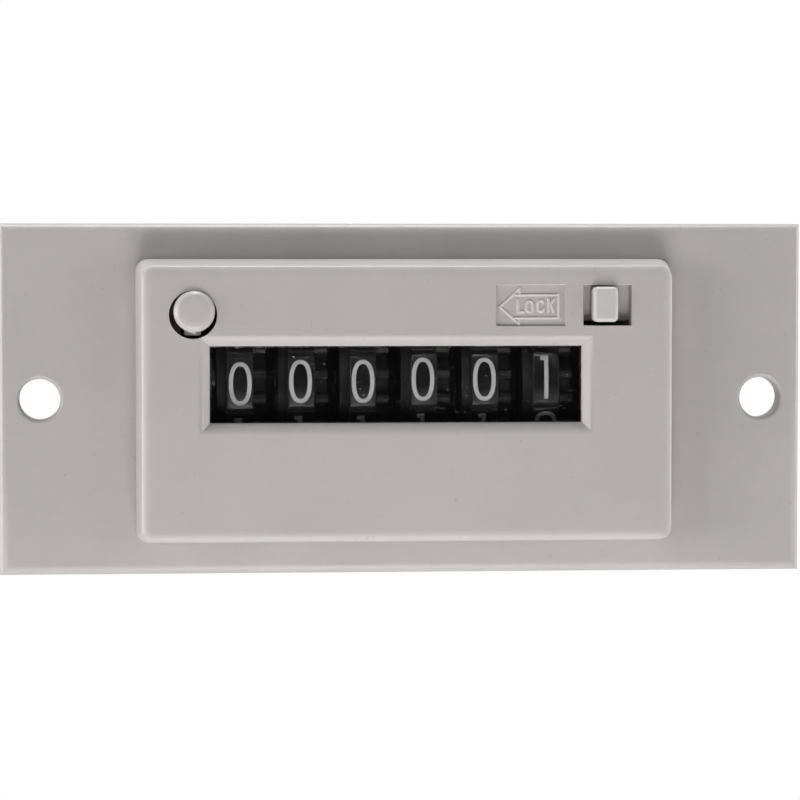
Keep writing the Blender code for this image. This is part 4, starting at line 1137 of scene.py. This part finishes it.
springSpec = {
    "resetSpring": {"node": "reset_spring", "wire": 0.15, "turns": 6, "radius": 0.95, "body": "housing",
                    "joint": "reset_button_press", "keep": 0.56},
    "returnSpring": {"node": "return_spring", "wire": 0.2, "turns": 6, "radius": 1.2, "body": "housing",
                     "joint": "armature_swing", "keep": 0.92},
}


# one ring of wire swept along a helix by the Screw modifier
def buildSpring(name, spec):
    low, high = (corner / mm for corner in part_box(spec["node"]))
    middle = (low + high) / 2
    reach = high.y - low.y - 2 * spec["wire"]
    clearSelection()
    bpy.ops.mesh.primitive_circle_add(vertices=12, radius=spec["wire"] * mm,
                                      location=(spec["radius"] * mm, 0, 0))
    spring = settle(bpy.context.object)
    spring.name = name
    coil = spring.modifiers.new("coil", "SCREW")
    coil.axis = "Y"
    coil.steps = coil.render_steps = 28
    coil.iterations = spec["turns"]
    coil.screw_offset = reach / spec["turns"] * mm
    bpy.ops.object.modifier_apply(modifier=coil.name)
    movePiece(spring, (middle.x, low.y + spec["wire"], middle.z))
    choose(spring)
    bpy.ops.object.mode_set(mode="EDIT")
    bpy.ops.mesh.select_all(action="SELECT")
    bpy.ops.mesh.fill_holes(sides=12)
    bpy.ops.mesh.select_all(action="SELECT")
    bpy.ops.mesh.normals_make_consistent(inside=False)
    leaveEdit()
    shadeByAngle(spring, 50)
    dress(spring, metals["springSteel"], spec["body"], "spring_steel", spec["node"])
    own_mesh(spring)
    return spring


for name, spec in springSpec.items():
    buildSpring(name, spec)
print("springs done")

# carried-over nodes

nodeFinishes = (
    (metals["frameSteel"], "mechanism_frame"),
    (metals["shaftSteel"], "wheel_shaft", "bail_shaft", "pinion_shaft", "armature_pin"),
    (metals["springSteel"], "shaft_clip_left", "shaft_clip_right", "drive_anchor"),
    (metals["softIron"], "magnet_yoke", "magnet_core", "armature"),
    (plastics["bobbin"], "bobbin"),
    (metals["copperWire"], "coil_winding", "coil_lead_left", "coil_lead_right"),
    (plastics["bail"], "reset_bail"),
    (plastics["pinion"], *(f"transfer_pinion_{number}" for number in range(1, 6))),
)
for finish, *nodes in nodeFinishes:
    for node in nodes:
        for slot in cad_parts[node].material_slots:
            slot.material = finish

# each fitting has a left and a right one: node, name, softened edge, finish and slot
fittings = (
    ("terminal", "Terminal", 0.08, metals["terminalBrass"], "terminal_brass"),
    ("case_screw", "CaseScrew", 0.06, metals["shaftSteel"], "shaft_steel"),
    ("clip", "PanelClip", 0.06, metals["springSteel"], "spring_steel"),
)
dress(softCopy("rear_case", "rearCase", 0.18, 3), plastics["case"], "housing", "case_plastic", "rear_case")
for side in ("left", "right"):
    for kind, name, edge, finish, slot in fittings:
        node = f"{kind}_{side}"
        dress(softCopy(node, side + name, edge), finish, "housing", slot, node)
print("case and fittings done")

# floor, backdrop, light, camera

stageSpec = {
    "floorZ": -0.6,
    "size": 6.0,
    "white": (0.9, 0.87),
    "paper": 0.8,
    "fade": (0.6, 2.2),
}


# glows white where the camera sees it, also through the lens, and a little less near the counter
# for all other light it is an ordinary pale surface
def buildStageWhite(spec):
    material, tree, shader = newMaterial("stageWhite")
    place = objectPlace(tree)
    clouds = makeNoise(tree, place, 2.0, 2.0, 0.5)
    tone = makeMix(tree, clouds.outputs["Fac"], *(grey(tone) for tone in spec["white"]))
    tree.links.new(tone, shader.inputs["Base Color"])
    shader.inputs["Roughness"].default_value = 0.9
    glow = tree.nodes.new("ShaderNodeEmission")
    glow.inputs["Color"].default_value = grey(1)
    glow.inputs["Strength"].default_value = 1.0
    path = tree.nodes.new("ShaderNodeLightPath")
    seen = makeMath(tree, "MAXIMUM", path.outputs["Is Camera Ray"], path.outputs["Is Transmission Ray"])
    away = tree.nodes.new("ShaderNodeVectorMath")
    away.operation = "LENGTH"
    tree.links.new(place, away.inputs[0])
    glowing = makeRange(tree, away.outputs["Value"], *spec["fade"], spec["paper"], 1)
    share = makeMath(tree, "MULTIPLY", seen, glowing)
    surface = tree.nodes["Material Output"].inputs["Surface"]
    mixShaders(tree, share, shader.outputs[0], glow.outputs[0], surface)
    return material


def buildStage(spec):
    white = buildStageWhite(spec)
    clearSelection()
    bpy.ops.mesh.primitive_plane_add(size=spec["size"], location=(0, 0, spec["floorZ"]))
    floor = settle(bpy.context.object)
    floor.name = "floor"
    floor.data.materials.append(white)


roomSpec = {
    "level": 0.8,
    "nearSide": (-0.35, 0.25),
    "nearTone": 0.0,
    "doorway": (0.80, 0.93),
    "dim": 0.03,
}


# a room that is lit behind the panel and dark in front of it; the camera sees it white
# so do mirrors and the lens, but for a dim doorway in front
def buildWorld(spec):
    world = bpy.data.worlds.new("studio")
    bpy.context.scene.world = world
    world.use_nodes = True
    tree = world.node_tree
    room = tree.nodes["Background"]
    room.inputs["Strength"].default_value = spec["level"]
    towards = tree.nodes.new("ShaderNodeVectorMath")
    towards.operation = "DOT_PRODUCT"
    towards.inputs[1].default_value = (0, -1, 0)
    tree.links.new(tree.nodes.new("ShaderNodeTexCoord").outputs["Generated"], towards.inputs[0])
    near = makeRange(tree, towards.outputs["Value"], *spec["nearSide"])
    tree.links.new(makeMix(tree, near, grey(1), grey(spec["nearTone"])), room.inputs["Color"])
    path = tree.nodes.new("ShaderNodeLightPath")
    doorway = makeRange(tree, towards.outputs["Value"], *spec["doorway"])
    indirect = makeMath(tree, "SUBTRACT", 1.0, path.outputs["Is Camera Ray"])
    dimmed = makeMath(tree, "MULTIPLY", doorway, indirect)
    seen = tree.nodes.new("ShaderNodeBackground")
    tree.links.new(makeMix(tree, dimmed, grey(1), grey(spec["dim"])), seen.inputs["Color"])
    seen.inputs["Strength"].default_value = 1.0
    clear = makeMath(tree, "MAXIMUM", path.outputs["Is Camera Ray"], path.outputs["Is Glossy Ray"])
    clear = makeMath(tree, "MAXIMUM", clear, path.outputs["Is Transmission Ray"])
    surface = tree.nodes["World Output"].inputs["Surface"]
    mixShaders(tree, clear, room.outputs[0], seen.outputs[0], surface)


# soft square lamps: direction from the counter, side and power, and a colour where it isn't white
lampSpec = {
    "distance": 0.5,
    "lamps": {
        "above": ((0, 0.06, 1), 0.18, 2.5, (0.95, 1.0, 1.0)),
        "below": ((0, -0.73, -0.68), 0.26, 1.63),
        "under": ((0, 0, -1), 0.3, 0.22),
        "left": ((-1, 0, 0), 0.3, 1.6),
        "leftFront": ((-0.8, -0.6, 0), 0.3, 0.95),
        "right": ((1, 0, 0), 0.3, 1.3),
        "rightFront": ((0.8, -0.6, 0), 0.3, 0.48),
    },
}


def buildLamp(name, direction, side, power, colour=(1, 1, 1)):
    light = bpy.data.lights.new(name, "AREA")
    light.shape = "SQUARE"
    light.size = side
    light.energy = power
    light.color = colour
    lamp = bpy.data.objects.new(name, light)
    bpy.context.scene.collection.objects.link(lamp)
    towards = Vector(direction).normalized()
    lamp.location = towards * lampSpec["distance"]
    lamp.rotation_euler = towards.to_track_quat("Z", "Y").to_euler()
    lamp.visible_camera = False


cameraSpec = {
    "place": (-26.984, -329.383, 14.141),
    "yaw": -4.6749,
    "pitch": 87.5015,
    "lens": 147.34,
}


def buildCamera(spec):
    camera = bpy.data.cameras.new("camera")
    camera.lens = spec["lens"]
    camera.sensor_width = 36.0
    camera.clip_start = 0.01
    camera.clip_end = 20.0
    holder = bpy.data.objects.new("camera", camera)
    bpy.context.scene.collection.objects.link(holder)
    holder.location = Vector(spec["place"]) * mm
    holder.rotation_euler = (math.radians(spec["pitch"]), 0, math.radians(spec["yaw"]))
    bpy.context.scene.camera = holder


buildStage(stageSpec)
buildWorld(roomSpec)
for name, lamp in lampSpec["lamps"].items():
    buildLamp(name, *lamp)
buildCamera(cameraSpec)
bpy.context.scene.view_settings.view_transform = "Standard"

print("stage, light and camera done")
